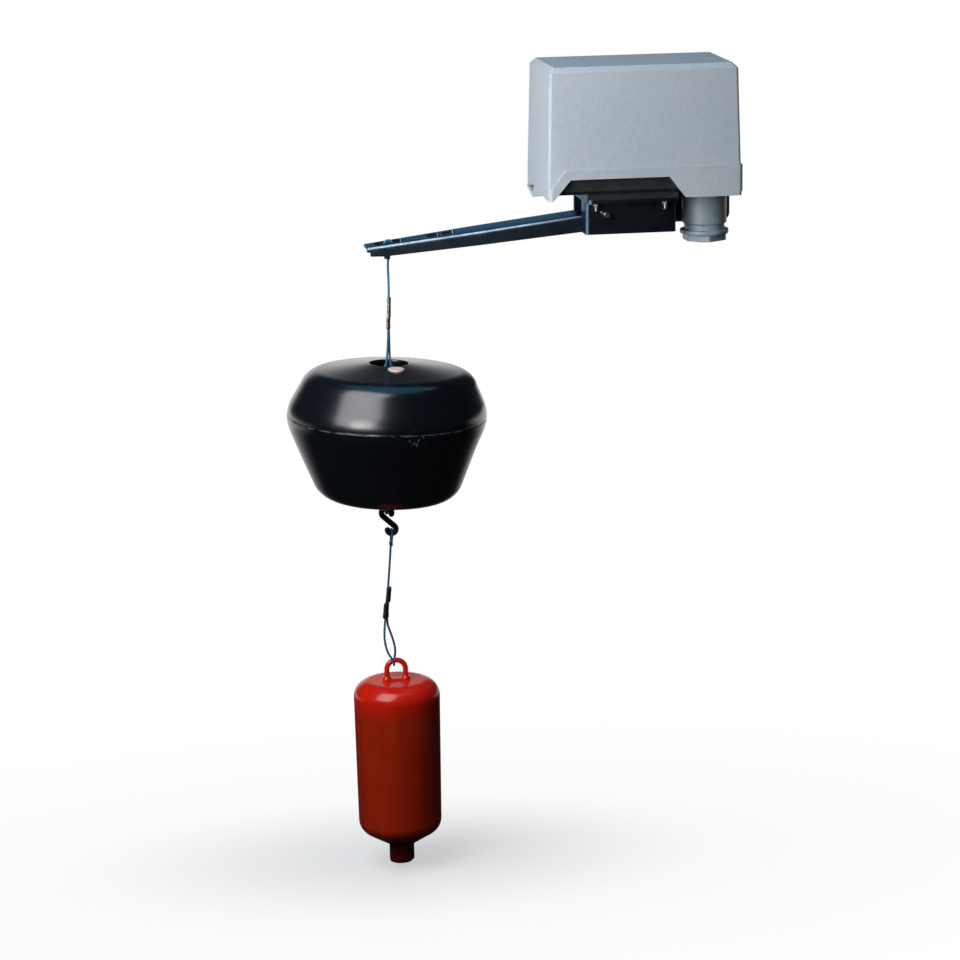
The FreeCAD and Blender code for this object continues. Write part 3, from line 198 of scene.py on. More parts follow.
def alongPath(path, radius, sides, side):
    # tube: path + radius (cos a n + sin a b), n square to the path and to `side`, b = t x n
    t = np.gradient(path, axis=0)
    t /= np.linalg.norm(t, axis=1)[:, None]
    b = np.asarray(side, float) - t * (t @ np.asarray(side, float))[:, None]
    b /= np.linalg.norm(b, axis=1)[:, None]
    n = np.cross(b, t)
    a = np.linspace(0, 2 * pi, sides, endpoint=False)
    radius = np.broadcast_to(np.asarray(radius, float), (len(path),))[:, None, None]
    ring = np.cos(a)[None, :, None] * n[:, None] + np.sin(a)[None, :, None] * b[:, None]
    return path[:, None] + radius * ring


def tubeFaces(points):
    # side quads and one polygon over each end
    rows, columns = points.shape[:2]
    faces = gridFaces(rows, columns, False, True)[:, ::-1].tolist()
    return faces + [list(range(columns)), list(range((rows - 1) * columns, rows * columns))[::-1]]


def outward(obj):
    # recalculates the normals of a closed mesh, after its doubles are merged
    work = bmesh.new()
    work.from_mesh(obj.data)
    bmesh.ops.remove_doubles(work, verts=work.verts, dist=1e-7)
    loose = [edge for edge in work.edges if not edge.link_faces]
    bmesh.ops.delete(work, geom=loose, context="EDGES")
    bmesh.ops.recalc_face_normals(work, faces=work.faces)
    work.to_mesh(obj.data)
    work.free()
    obj.data.update()


# camera, at the photograph's own place

view = {"place": (-450.4, -1896.9, 295.7), "right": (0.98469, -0.17390, -0.01246),
        "up": (0.05112, 0.21965, 0.97424), "lens": 134.3, "sensor": 36, "clip": (0.05, 50)}
cameraData = bpy.data.cameras.new("camera")
cameraData.lens, cameraData.sensor_width = view["lens"], view["sensor"]
cameraData.clip_start, cameraData.clip_end = view["clip"]
camera = bpy.data.objects.new("camera", cameraData)
right, up = Vector(view["right"]).normalized(), Vector(view["up"]).normalized()
turn = Matrix((right, up, right.cross(up))).transposed().to_4x4()
camera.matrix_world = Matrix.Translation(Vector(view["place"]) * mm) @ turn
bpy.context.scene.collection.objects.link(camera)
bpy.context.scene.camera = camera
print("camera set")


# places taken from the CAD model, in millimetres

leverY = -14.0
barAt = (-171.763, leverY, -13.148)          # the lever's outer bar
floatAt = (-173.763, leverY, -106.348)       # the float's middle, at the height of its widest ring
topEyeAt = (-173.060, leverY, -83.959)
hookAt = (-172.863, leverY, -170.948)        # middle of the hook's lower loop
weightAt = (-171.863, leverY, -245.348)      # top of the weight's eye
floatShape = {"tilt": 1.8, "seam": -1.2, "steps": 220, "wall": 2.4, "sway": 0.7, "swayFrom": 8.5,
              "swaySpan": 38.5, "weldBead": 0.16, "beadHeight": 0.45, "beadOutside": 53,
              "scuffAt": (-166.0, -68.0, -109.5), "fine": 0.5, "coarse": 2.0}


# finishes

def mouldedPolycarbonate():
    # spark-eroded mould: a fine even grain, a soft sheen, and a net of hair-thin rub marks from handling
    material, tree, shader, place = newFinish("mouldedPolycarbonate")
    cloud = speckle(tree, place, 30 * mm, 3.0)
    grain = speckle(tree, place, 0.5 * mm, 2.0)
    base = mixed(tree, spread(tree, cloud, 0, 1), srgb("#aab1b8"), srgb("#a2acb4"))
    mottle = speckle(tree, place, 1.8 * mm, 3.0)
    base = mixed(tree, spread(tree, mottle, 0.0, 0.5, 0.35, 0.75), base, srgb("#929ca4"))
    # rub marks are drawn wider than the real 0.1 mm, so that they show
    bend = addNode(tree, "TexNoise", {"Vector": place, "Scale": 1 / (3 * mm), "Detail": 2.0}).outputs[1]
    moved = addNode(tree, "VectorMath", {0: bend, 1: (4 * mm,) * 3}, operation="MULTIPLY").outputs[0]
    moved = addNode(tree, "VectorMath", {0: place, 1: moved}, operation="ADD").outputs[0]
    net = addNode(tree, "TexVoronoi", {"Vector": moved, "Scale": 1 / (5.5 * mm)}, feature="DISTANCE_TO_EDGE")
    lines = spread(tree, net.outputs[0], 1.0, 0.0, 0.0, 0.035)
    sparse = spread(tree, speckle(tree, place, 7 * mm, 2.0), 0.0, 1.0, 0.55, 0.62)
    pale = maths(tree, "MULTIPLY", lines, sparse)
    base = mixed(tree, maths(tree, "MULTIPLY", pale, 0.22), base, srgb("#c3ccd3"))
    pits = addNode(tree, "TexVoronoi", {"Vector": place, "Scale": 1 / (2.6 * mm)}).outputs[0]
    rare = spread(tree, speckle(tree, place, 4 * mm, 1.0), 0.0, 1.0, 0.62, 0.66)
    dark = maths(tree, "MULTIPLY", spread(tree, pits, 1.0, 0.0, 0.05, 0.16), rare)
    base = mixed(tree, maths(tree, "MULTIPLY", dark, 0.6), base, srgb("#6f7c86"))
    tree.links.new(base, shader.inputs["Base Color"])
    tree.links.new(spread(tree, grain, 0.42, 0.58), shader.inputs["Roughness"])
    shader.inputs["IOR"].default_value = 1.58
    shader.inputs["Specular IOR Level"].default_value = 0.35
    height = maths(tree, "ADD", grain, pale)
    relief(tree, shader, height, 0.10 * mm, 0.5)
    return material


def blowMouldedFloat():
    # blow-moulded in two halves: a satin skin with faint flow clouds, and a pale line painted in patches
    # along the weld as the highlight on its bead
    material, tree, shader, place = newFinish("blowMouldedPolypropylene")
    cloud = speckle(tree, place, 26 * mm, 3.0)
    grain = speckle(tree, place, 0.9 * mm, 3.0)
    base = mixed(tree, spread(tree, cloud, 0, 1), srgb("#04070c"), srgb("#080c13"))
    parts = axes(tree, place)
    # the weld: a band 0.5 mm either side of its height, which tilts with the float, painted pale as a
    # highlight on the bead
    tilted = maths(tree, "MULTIPLY", parts[0], tan(radians(floatShape["tilt"])))
    level = maths(tree, "ADD", parts[2], tilted)
    weldAt = (floatAt[2] + floatShape["seam"] + floatAt[0] * tan(radians(floatShape["tilt"]))) * mm
    off = maths(tree, "SUBTRACT", level, weldAt)
    off = maths(tree, "ABSOLUTE", off)
    weld = spread(tree, off, 1.0, 0.0, 0.15 * mm, 0.5 * mm)
    paintedHighlight = spread(tree, speckle(tree, place, 6 * mm, 4.0), 0.0, 1.0, 0.44, 0.6)
    weld = maths(tree, "MULTIPLY", weld, paintedHighlight)
    # scratches gathered at one spot on the front, a little below the weld
    scuffAt = tuple(v * mm for v in floatShape["scuffAt"])
    spot = addNode(tree, "VectorMath", {0: place, 1: scuffAt}, operation="DISTANCE")
    patch = spread(tree, spot.outputs["Value"], 1.0, 0.0, 3.5 * mm, 6 * mm)
    hair = addNode(tree, "Mapping", {"Vector": place, "Scale": (1.0, 1.0, 0.3), "Rotation": (0, 0.5, 0)})
    cuts = spread(tree, speckle(tree, hair.outputs[0], 0.9 * mm, 3.0), 0.0, 1.0, 0.60, 0.66)
    cuts = maths(tree, "MULTIPLY", cuts, patch)
    specks = addNode(tree, "TexVoronoi", {"Vector": place, "Scale": 1 / (5 * mm)}).outputs[0]
    specks = spread(tree, specks, 0.5, 0.0, 0.05, 0.085)
    # the painted highlight on the weld and the scratches both turn pale
    pale = maths(tree, "MAXIMUM", weld, cuts)
    base = mixed(tree, maths(tree, "MULTIPLY", pale, 0.55), base, srgb("#6a7076"))
    base = mixed(tree, maths(tree, "MULTIPLY", specks, 0.35), base, srgb("#56606a"))
    tree.links.new(base, shader.inputs["Base Color"])
    rough = maths(tree, "ADD", spread(tree, grain, 0.20, 0.27), pale)
    tree.links.new(rough, shader.inputs["Roughness"])
    shader.inputs["IOR"].default_value = 1.49
    shader.inputs["Specular IOR Level"].default_value = 0.6
    shader.inputs["Coat Weight"].default_value = 0.35
    shader.inputs["Coat Roughness"].default_value = 0.22
    relief(tree, shader, grain, 0.010 * mm, 0.6)
    return material


def crimpedCopper(name, pale, second, shadeColour, low, high):
    # a tube crimped between two jaws: pale metal on the lit side, and painted shade, near black, on the side
    # that faces +x, away from the lamps
    material, tree, shader, place = newFinish(name)
    cloud = speckle(tree, place, 3 * mm, 3.0)
    grain = speckle(tree, place, 0.4 * mm, 3.0)
    # painted shade: the further a face turns towards +x, the nearer its colour goes to the shade colour
    side = axes(tree, addNode(tree, "TexCoord").outputs["Normal"])[0]
    side = maths(tree, "ADD", side, spread(tree, cloud, -0.12, 0.12))
    metal = mixed(tree, spread(tree, cloud, 0, 1), srgb(pale), srgb(second))
    base = mixed(tree, spread(tree, side, 0.0, 1.0, low, high), metal, srgb(shadeColour))
    tree.links.new(base, shader.inputs["Base Color"])
    tree.links.new(spread(tree, grain, 0.38, 0.52), shader.inputs["Roughness"])
    shader.inputs["Metallic"].default_value = 0.35
    relief(tree, shader, grain, 0.03 * mm, 0.5)
    return material


def sheetWithBendHighlight(name, colour, second, rough, edge, paintedHighlight, coat):
    # pressed from passivated sheet: dark head-on, blue at a glancing angle, and painted pale in patches over
    # its bends as a highlight, where it is also rougher
    material, tree, shader, place = newFinish(name)
    cloud = speckle(tree, place, 9 * mm, 4.0)
    grain = speckle(tree, place, 0.6 * mm, 3.0)
    normal = addNode(tree, "TexCoord").outputs["Normal"]
    parts = axes(tree, addNode(tree, "VectorMath", {0: normal}, operation="ABSOLUTE").outputs[0])
    most = maths(tree, "MAXIMUM", parts[0], parts[1])
    most = maths(tree, "MAXIMUM", most, parts[2])
    # painted highlight: where the normal leans off every axis, over the bends and bevels
    bend = spread(tree, most, 1.0, 0.0, 0.80, 0.93)
    patchy = spread(tree, speckle(tree, place, 5 * mm, 3.0), 0.6, 1.0, 0.35, 0.6)
    bend = maths(tree, "MULTIPLY", bend, patchy)
    base = mixed(tree, spread(tree, cloud, 0, 1, 0.35, 0.65), srgb(colour), srgb(second))
    tree.links.new(mixed(tree, bend, base, srgb(paintedHighlight)), shader.inputs["Base Color"])
    rougher = maths(tree, "MULTIPLY", bend, 0.28)
    rougher = maths(tree, "ADD", rougher, spread(tree, grain, rough * 0.9, rough * 1.1))
    tree.links.new(rougher, shader.inputs["Roughness"])
    shader.inputs["Metallic"].default_value = 1.0
    shader.inputs["Specular Tint"].default_value = srgb(edge)
    shader.inputs["Coat Weight"].default_value = coat
    relief(tree, shader, grain, 0.004 * mm, 0.5)
    return material


def glossRedMoulding():
    # dipped red vinyl with faint runs; painted light and shade: bright red on the crown and shoulders,
    # browner down the side, as if lit from above
    material, tree, shader, place = newFinish("dippedRedVinyl")
    cloud = speckle(tree, place, 18 * mm, 3.0)
    grain = speckle(tree, place, 1.4 * mm, 3.0)
    runs = addNode(tree, "Mapping", {"Vector": place, "Scale": (1.0, 1.0, 0.12)}).outputs[0]
    runs = speckle(tree, runs, 7 * mm, 2.0)
    height = axes(tree, place)[2]
    # painted light and shade: above the shoulder the red is painted brighter, below it browner
    top = addNode(tree, "MapRange", {0: height, 1: -0.278, 2: -0.262, 3: 0.0, 4: 1.0},
                  interpolation_type="SMOOTHSTEP").outputs[0]
    side = mixed(tree, spread(tree, cloud, 0, 1), srgb("#b62c0a"), srgb("#a82507"))
    side = mixed(tree, spread(tree, runs, 0.0, 0.5, 0.4, 0.75), side, srgb("#8f1f08"))
    crown = mixed(tree, spread(tree, cloud, 0, 1), srgb("#e32410"), srgb("#d41f0d"))
    base = mixed(tree, top, side, crown)
    # painted shade: darker towards the bottom, over the neck and the foot of the lower cone
    neckShade = spread(tree, height, 1.0, 0.0, -0.351, -0.343)
    base = mixed(tree, maths(tree, "MULTIPLY", neckShade, 0.75), base, srgb("#2e0906"))
    tree.links.new(base, shader.inputs["Base Color"])
    tree.links.new(spread(tree, grain, 0.19, 0.25), shader.inputs["Roughness"])
    shader.inputs["IOR"].default_value = 1.53
    shader.inputs["Specular IOR Level"].default_value = 0.45
    relief(tree, shader, grain, 0.004 * mm, 0.5)
    return material


def plain(name, colour, second, rough, grainSize, depth=0.02, spec=0.5):
    # two near tones in cloudy patches, and a grain in roughness and relief
    material, tree, shader, place = newFinish(name)
    cloud = speckle(tree, place, grainSize * 14 * mm, 4.0)
    grain = speckle(tree, place, grainSize * mm, 3.0)
    base = mixed(tree, spread(tree, cloud, 0, 1, 0.35, 0.65), srgb(colour), srgb(second))
    tree.links.new(base, shader.inputs["Base Color"])
    tree.links.new(spread(tree, grain, rough * 0.85, rough * 1.2), shader.inputs["Roughness"])
    shader.inputs["IOR"].default_value = 1.5
    shader.inputs["Specular IOR Level"].default_value = spec
    relief(tree, shader, grain, depth * mm, 0.6)
    return material


def brushed(name, colour, second, rough):
    # drawn or turned metal: its fine marks are a noise stretched upwards
    material, tree, shader, place = newFinish(name)
    lines = addNode(tree, "Mapping", {"Vector": place, "Scale": (1.0, 1.0, 0.04)}).outputs[0]
    hair = speckle(tree, lines, 0.25 * mm, 2.0)
    base = mixed(tree, spread(tree, hair, 0, 1), srgb(colour), srgb(second))
    tree.links.new(base, shader.inputs["Base Color"])
    tree.links.new(spread(tree, hair, rough * 0.8, rough * 1.3), shader.inputs["Roughness"])
    shader.inputs["Metallic"].default_value = 1.0
    relief(tree, shader, hair, 0.01 * mm, 0.5)
    return material


finishes = {
    "coverShell": mouldedPolycarbonate(),
    # injection moulded, matt from its glass fibre
    "baseAbs": plain("glassFilledNylonBlack", "#20282c", "#181d20", 0.45, 0.5),
    # compression moulded, dull and a little chalky
    "rubber": plain("nitrileRubber", "#17191a", "#1e2021", 0.75, 0.4),
    # moulded seal, gone pale with age
    "paleSeal": plain("agedSealRubber", "#a9a49b", "#8d8a84", 0.6, 0.4),
    "bracketSteel": sheetWithBendHighlight("blackPassivatedSheet", "#4a5560", "#3c4751", 0.36, "#7fb2dc",
                                "#5f7f95", 0.25),
    "leverSteel": sheetWithBendHighlight("bluePassivatedSheet", "#4d5c68", "#404e59", 0.38, "#84c4f6",
                              "#d3d6e2", 0.0),
    # turned or headed, then plated
    "zinc": brushed("zincPlatedSteel", "#a9adb0", "#8c9093", 0.32),
    "springWire": brushed("drawnSpringWire", "#77797c", "#5c5e61", 0.3),
    "brass": brushed("turnedBrass", "#b59a5a", "#98803f", 0.28),
    # pressed from powder, with a faint cloud
    "phenolic": plain("brownPhenolic", "#3a241a", "#2b1a12", 0.35, 0.5),
    # turned from bar
    "acetal": plain("whiteAcetal", "#d8d5cc", "#cfccc2", 0.4, 0.4),
    # injection moulded in a fine spark-eroded mould
    "glandNylon": plain("greyNylon", "#8795a0", "#7c8a95", 0.42, 0.5),
    # three laid strands of drawn fibre, and the twine wound over them
    "ropeFibre": plain("bluePolyester", "#2f6f92", "#235672", 0.6, 0.12, depth=0.03),
    "threadFibre": plain("blueTwine", "#24506f", "#1a3d57", 0.65, 0.1, depth=0.03),
    "ferruleCopper": crimpedCopper("tinnedCopper", "#a39c86", "#7d7663", "#15110e", -0.25, 0.0),
    "ferruleDark": crimpedCopper("tarnishedCopperShadedSide", "#3b4240", "#2a2f2d", "#120e0c", 0.1, 0.5),
    "floatPlastic": blowMouldedFloat(),
    # cast, slightly tacky and matt
    "plugSilicone": plain("paleSilicone", "#d9bfb4", "#cdb1a6", 0.5, 0.4),
    "stainless": brushed("stainlessRod", "#8d9093", "#6d7073", 0.3),
    # bent from wire and blackened in hot oxide
    "hookBlack": plain("blackOxideSteel", "#0a0d10", "#12161a", 0.35, 0.4, spec=0.4),
    "weightPvc": glossRedMoulding(),
    # loose grit, poured in
    "ballastIron": plain("ironSand", "#4d4640", "#37322e", 0.8, 0.8),
}

dress = {
    "cover": "coverShell", "cover_gasket": "rubber", "cover_screw": "zinc", "base_tray": "baseAbs",
    "bracket": "bracketSteel", "bracket_screws": "zinc", "bracket_nuts": "bracketSteel",
    "pivot_pin": "zinc", "split_pin": "zinc", "pivot_spacer": "zinc", "pivot_washer": "zinc",
    "switch_block": "phenolic", "switch_screws": "zinc", "terminal_clamps": "brass",
    "terminal_screws": "brass", "spring_yoke": "zinc", "yoke_screws": "zinc", "adjusting_screw": "brass",
    "spring_top_seat": "brass", "main_spring": "springWire", "earth_plate": "brass", "earth_screw": "brass",
    "gland_washer": "rubber", "gland_body": "glandNylon", "gland_locknut": "glandNylon",
    "gland_seal": "paleSeal", "gland_nut": "glandNylon", "lever_arm": "leverSteel", "pivot_bushes": "brass",
    "switch_tappet": "acetal", "spring_bottom_seat": "brass", "upper_rope": "ropeFibre",
    "upper_ferrule": "ferruleCopper", "upper_winding": "threadFibre", "float_top_half": "floatPlastic",
    "float_bottom_half": "floatPlastic", "float_plug": "plugSilicone", "float_rod": "stainless",
    "hook": "hookBlack", "lower_rope": "ropeFibre", "lower_ferrule": "ferruleDark",
    "lower_winding": "threadFibre", "weight_body": "weightPvc", "weight_fill": "ballastIron",
    "weight_stopper": "weightPvc",
}
for nodeName, finish in dress.items():
    paint(nodeName, finishes[finish])
print("finishes on", len(dress), "nodes")


# the two ropes

ropes = {
    # "diameter" is the CAD's; the strands stand a little further out, at "seen", as the photograph has them
    "diameter": 1.2, "seen": 1.3, "layLength": 5.0, "strands": 3, "strandRadius": 0.40, "sides": 8,
    "pathStep": 4, "resolution": 24, "spacing": 0.25,
    "upperFromBar": [(-1.35, 0.0, -6.55), (-2.3, 0.0, -3.05), (-2.3, 0.0, 1.85), (2.05, 0.0, 1.85),
                     (2.05, 0.0, -3.05), (-0.85, -0.1, -8.05), (-0.1, -0.65, -24.9)],
    "upperFromEye": [(-0.45, -0.55, 6.4), (-2.45, -0.3, 2.6), (-2.45, 0.0, -2.4), (2.45, 0.0, -2.4),
                     (2.45, 0.3, 2.6), (0.5, 0.55, 6.4), (0.95, 0.65, 40.5)],
    "lowerFromHook": [(-0.45, -1.0, -7.6), (-0.15, -2.45, -4.7), (0.0, -2.45, 0.0), (0.0, 2.45, 0.0),
                      (-0.15, 2.45, -4.7), (-0.6, 0.1, -8.8), (-2.5, -0.6, -31.45)],
    "lowerFromEye": [(-5.75, -0.6, 22.35), (-6.4, -0.5, 12.45), (-4.75, -1.6, 4.6), (-1.85, -2.45, 0.8),
                     (-1.25, -2.45, -2.7), (-0.75, 2.45, -2.7), (-0.15, 2.45, 1.8), (0.15, 1.8, 6.4),
                     (-1.95, 0.9, 14.2), (-5.2, 0.6, 22.8), (-3.27, 0.6, 40.4)],
}


def placed(anchor, offsets):
    # control points given from a place on the CAD model
    return [tuple(a + b for a, b in zip(anchor, offset)) for offset in offsets]


def splineLine(points):
    # the NURBS spline through Blender, read back as evenly spaced points
    data = bpy.data.curves.new("line", "CURVE")
    data.dimensions = "3D"
    data.resolution_u = ropes["resolution"]
    spline = data.splines.new("NURBS")
    spline.points.add(len(points) - 1)
    spline.points.foreach_set("co", np.column_stack([np.array(points) * mm, np.ones(len(points))]).ravel())
    spline.order_u, spline.use_endpoint_u = 3, True
    holder = bpy.data.objects.new("line", data)
    bpy.context.scene.collection.objects.link(holder)
    bpy.context.view_layer.update()
    mesh = bpy.data.meshes.new_from_object(holder.evaluated_get(bpy.context.evaluated_depsgraph_get()))
    line = np.zeros(len(mesh.vertices) * 3)
    mesh.vertices.foreach_get("co", line)
    line = line.reshape(-1, 3)
    bpy.data.objects.remove(holder)
    bpy.data.meshes.remove(mesh)
    run = np.concatenate([[0], np.cumsum(np.linalg.norm(np.diff(line, axis=0), axis=1))])
    at = np.linspace(0, run[-1], int(run[-1] / (ropes["spacing"] * mm)))
    return np.column_stack([np.interp(at, run, line[:, k]) for k in range(3)]), run[-1]


def twistedRope(name, points, side, body, node):
    # each strand runs at radius R - strandRadius round the line, turning once every layLength
    line, length = splineLine(points)
    t = np.gradient(line, axis=0)
    t /= np.linalg.norm(t, axis=1)[:, None]
    b = np.asarray(side, float) - t * (t @ np.asarray(side, float))[:, None]
    b /= np.linalg.norm(b, axis=1)[:, None]
    n = np.cross(b, t)
    run = np.linspace(0, length, len(line))
    parts = []
    for k in range(ropes["strands"]):
        a = 2 * pi * (run / (ropes["layLength"] * mm) + k / ropes["strands"])
        off = (ropes["seen"] / 2 - ropes["strandRadius"]) * mm
        strand = line + off * (np.cos(a)[:, None] * n + np.sin(a)[:, None] * b)
        tube = alongPath(strand, ropes["strandRadius"] * mm, ropes["sides"], side)
        parts.append((tube, tubeFaces(tube)))
    pts, faces = joinParts(parts)
    rope = makePiece(name, pts, faces, finishes["ropeFibre"], body)
    outward(rope)
    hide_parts(node)
    return line, length


upperRoute = placed(barAt, ropes["upperFromBar"]) + placed(topEyeAt, ropes["upperFromEye"])
lowerRoute = placed(hookAt, ropes["lowerFromHook"]) + placed(weightAt, ropes["lowerFromEye"])
upperLine, upperLength = twistedRope("upperRopeStrands", upperRoute, (0, 1, 0), "upper_line", "upper_rope")
lowerLine, lowerLength = twistedRope("lowerRopeStrands", lowerRoute, (1, 0, 0), "lower_line", "lower_rope")
print("ropes: %.1f and %.1f mm" % (upperLength / mm, lowerLength / mm))


# crimped ferrules and windings on the ropes

# a step is (its place along the sleeve, how far the top stands aside, the share of it taken at the low end)
ferrules = {"length": 17.4, "upperRadius": 1.22, "lowerRadius": 1.42, "waist": 0.16, "waistWidth": 0.45,
            "columns": 40, "rows": 90, "endPinch": 0.22, "endLength": 0.25, "bands": (0.22, 0.5, 0.78),
            "bandDepth": 0.07, "bandWidth": 0.035, "stepLength": 0.012,
            "samples": 30, "belowTop": 1.6, "aboveEnd": 0.05,
            "upperTop": -42.2, "upperStep": (0.62, 0.30, 0.55), "lowerTop": -203.6,
            "lowerStep": (0.50, 0.75, 0.35)}
windings = {"drop": 1.35, "length": 2.5, "turns": 4.0, "twine": 0.25, "reach": 0.72, "sides": 8, "rows": 260,
            "pressed": 0.6, "fadeOver": 40}


def crossings(line, z):
    # the points where a rope's line passes height z, in the line's own order
    h = line[:, 2] - z * mm
    k = np.nonzero(h[:-1] * h[1:] <= 0)[0]
    share = (h[k] / (h[k] - h[k + 1]))[:, None]
    return line[k] + (line[k + 1] - line[k]) * share


def ferrule(name, line, top, step, size, material, body, node):
    # round two strands: half-width along their gap is gap/2 + R, across it R less a waist between the lobes;
    # the ends close in, pressed bands narrow it, and above the step it stands to one side
    bottom = top - ferrules["length"]
    # both strands are in the sleeve from a little below its top
    z = np.linspace(top - ferrules["belowTop"], bottom + ferrules["aboveEnd"], ferrules["samples"])
    pairs = np.array([[p[0], p[-1]] for p in (crossings(line, h) for h in z)])
    h = np.linspace(top, bottom, ferrules["rows"])
    one = np.stack([np.interp(-h, -z, pairs[:, 0, k]) for k in range(3)], -1)
    other = np.stack([np.interp(-h, -z, pairs[:, 1, k]) for k in range(3)], -1)
    middle = (one + other) / 2
    middle[:, 2] = h * mm
    gap = other - one
    gap[:, 2] = 0
    half = np.linalg.norm(gap, axis=1) / 2
    across = gap / (2 * half)[:, None]
    aside = np.stack([-across[:, 1], across[:, 0], 0 * half], -1)
    a = np.linspace(0, 2 * pi, ferrules["columns"], endpoint=False)
    share = (top - h) / ferrules["length"]
    end = np.minimum(share, 1 - share) * ferrules["length"]
    radius = size * (1 - ferrules["endPinch"] * np.exp(-(end / ferrules["endLength"]) ** 2))
    bands = sum(np.exp(-((share - c) / ferrules["bandWidth"]) ** 2) for c in ferrules["bands"])
    radius = radius * (1 - ferrules["bandDepth"] * bands)
    place, shift, low = step
    slide = shift * (1 / (1 + np.exp((share - place) / ferrules["stepLength"])) - low)
    wide = (half / mm + radius)[:, None] * np.cos(a)
    waist = 1 - ferrules["waist"] * np.exp(-(np.cos(a) / ferrules["waistWidth"]) ** 2)
    thick = radius[:, None] * np.sin(a) * waist
    points = (middle[:, None] + across[:, None] * (wide * mm)[..., None]
              + aside[:, None] * (thick * mm)[..., None]
              + np.array([1.0, 0, 0]) * (slide * mm)[:, None, None])
    piece = makePiece(name, points.reshape(-1, 3), tubeFaces(points), material, body)
    outward(piece)
    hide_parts(node)


def winding(name, line, material, body, node):
    # twine wound on a stretched ring round the rope's own end and the run that passes beside and below it
    end = line[0] / mm
    run = crossings(line, end[2] - windings["drop"])[0] / mm
    middle, gap = (end + run) / 2, run - end
    gap[2] = 0
    half = np.linalg.norm(gap) / 2
    across = gap / (2 * half)
    aside = np.array([-across[1], across[0], 0])
    t = np.linspace(0, 1, windings["rows"])
    a = 2 * pi * windings["turns"] * t
    wide = half + windings["reach"] + windings["twine"] * windings["pressed"]
    tall = windings["length"] - 2 * windings["twine"]
    path = (middle + across * (wide * np.cos(a))[:, None] + aside * (windings["reach"] * np.sin(a))[:, None]
            + np.array([0, 0, 1]) * ((0.5 - t) * tall)[:, None])
    # the twine's two ends are rounded off
    fade = np.clip(np.minimum(t, 1 - t) * windings["fadeOver"], 0, 1)
    fade = np.sqrt(np.clip(1 - (1 - fade) ** 2, 0, 1))
    tube = alongPath(path * mm, windings["twine"] * mm * fade, windings["sides"], (0, 0, 1))
    piece = makePiece(name, tube.reshape(-1, 3), tubeFaces(tube), material, body)
    outward(piece)
    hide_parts(node)


ferrule("upperFerruleSleeve", upperLine, ferrules["upperTop"], ferrules["upperStep"], ferrules["upperRadius"],
        finishes["ferruleCopper"], "upper_line", "upper_ferrule")
ferrule("lowerFerruleSleeve", lowerLine, ferrules["lowerTop"], ferrules["lowerStep"], ferrules["lowerRadius"],
        finishes["ferruleDark"], "lower_line", "lower_ferrule")
winding("upperTwine", upperLine, finishes["threadFibre"], "upper_line", "upper_winding")
winding("lowerTwine", lowerLine, finishes["threadFibre"], "lower_line", "lower_winding")
print("ferrules and windings made")


# edges softened on the CAD's own sheet and moulded pieces

softening = {"mergeWithin": 0.002, "flatWithin": 0.6, "sharpOver": 28.0}


def softened(name, node, body, width, segments=2):
    # a merged copy of the node's mesh with its flat facets joined; a small bevel rounds every sharp edge
    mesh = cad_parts[node].data.copy()
    mesh.name = name
    work = bmesh.new()
    work.from_mesh(mesh)
    bmesh.ops.remove_doubles(work, verts=work.verts, dist=softening["mergeWithin"] * mm)
    bmesh.ops.dissolve_limit(work, angle_limit=radians(softening["flatWithin"]), verts=work.verts,
                             edges=work.edges)
    work.to_mesh(mesh)
    work.free()
    if "custom_normal" in mesh.attributes:
        mesh.attributes.remove(mesh.attributes["custom_normal"])
    mesh.polygons.foreach_set("use_smooth", np.full(len(mesh.polygons), True))
    piece = bpy.data.objects.new(name, mesh)
    bpy.context.scene.collection.objects.link(piece)
    bevel = piece.modifiers.new("edges", "BEVEL")
    bevel.width, bevel.segments = width * mm, segments
    bevel.limit_method, bevel.angle_limit = "ANGLE", radians(softening["sharpOver"])
    bevel.harden_normals = True
    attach(piece, body)
    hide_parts(node)


softened("coverShell", "cover", "housing", 0.4)
softened("bracketSheet", "bracket", "housing", 0.25)
softened("leverChannel", "lever_arm", "lever", 0.3)
softened("baseMoulding", "base_tray", "housing", 0.3)
softened("hookWire", "hook", "lower_line", 0.9, segments=4)
print("sheet and moulded pieces softened")


# float: two thin shells welded at the seam, a plug beside the recess

def spaced(line, step):
    # an open (r, z) line with points added so that no stretch is longer than step
    line = np.asarray(line, float)
    run = np.concatenate([[0], np.cumsum(np.linalg.norm(np.diff(line, axis=0), axis=1))])
    at = np.unique(np.concatenate([run, np.arange(0, run[-1], step)]))
    return np.column_stack([np.interp(at, run, line[:, k]) for k in range(2)])


def parted(line, height):
    # splits an open (r, z) line where it first falls through a height
    z = line[:, 1]
    k = int(np.nonzero((z[:-1] >= height) & (z[1:] < height))[0][0])
    point = line[k] + (line[k + 1] - line[k]) * (z[k] - height) / (z[k] - z[k + 1])
    return np.vstack([line[:k + 1], point]), np.vstack([point, line[k + 1:]])


def insideOf(line, wall):
    # each point moved inwards by the wall: tangent (a, b) has the outward normal (-b, a)
    t = np.gradient(line, axis=0)
    t /= np.linalg.norm(t, axis=1)[:, None]
    return line - wall * np.stack([-t[:, 1], t[:, 0]], -1)


def hungAt(points, middle, tilt):
    # turned about Y through the middle: x' = x cos t + z sin t, z' = z cos t - x sin t
    t = radians(tilt)
    x, y, z = points[..., 0], points[..., 1], points[..., 2]
    return np.stack([middle[0] + x * cos(t) + z * sin(t), middle[1] + y,
                     middle[2] + z * cos(t) - x * sin(t)], -1)


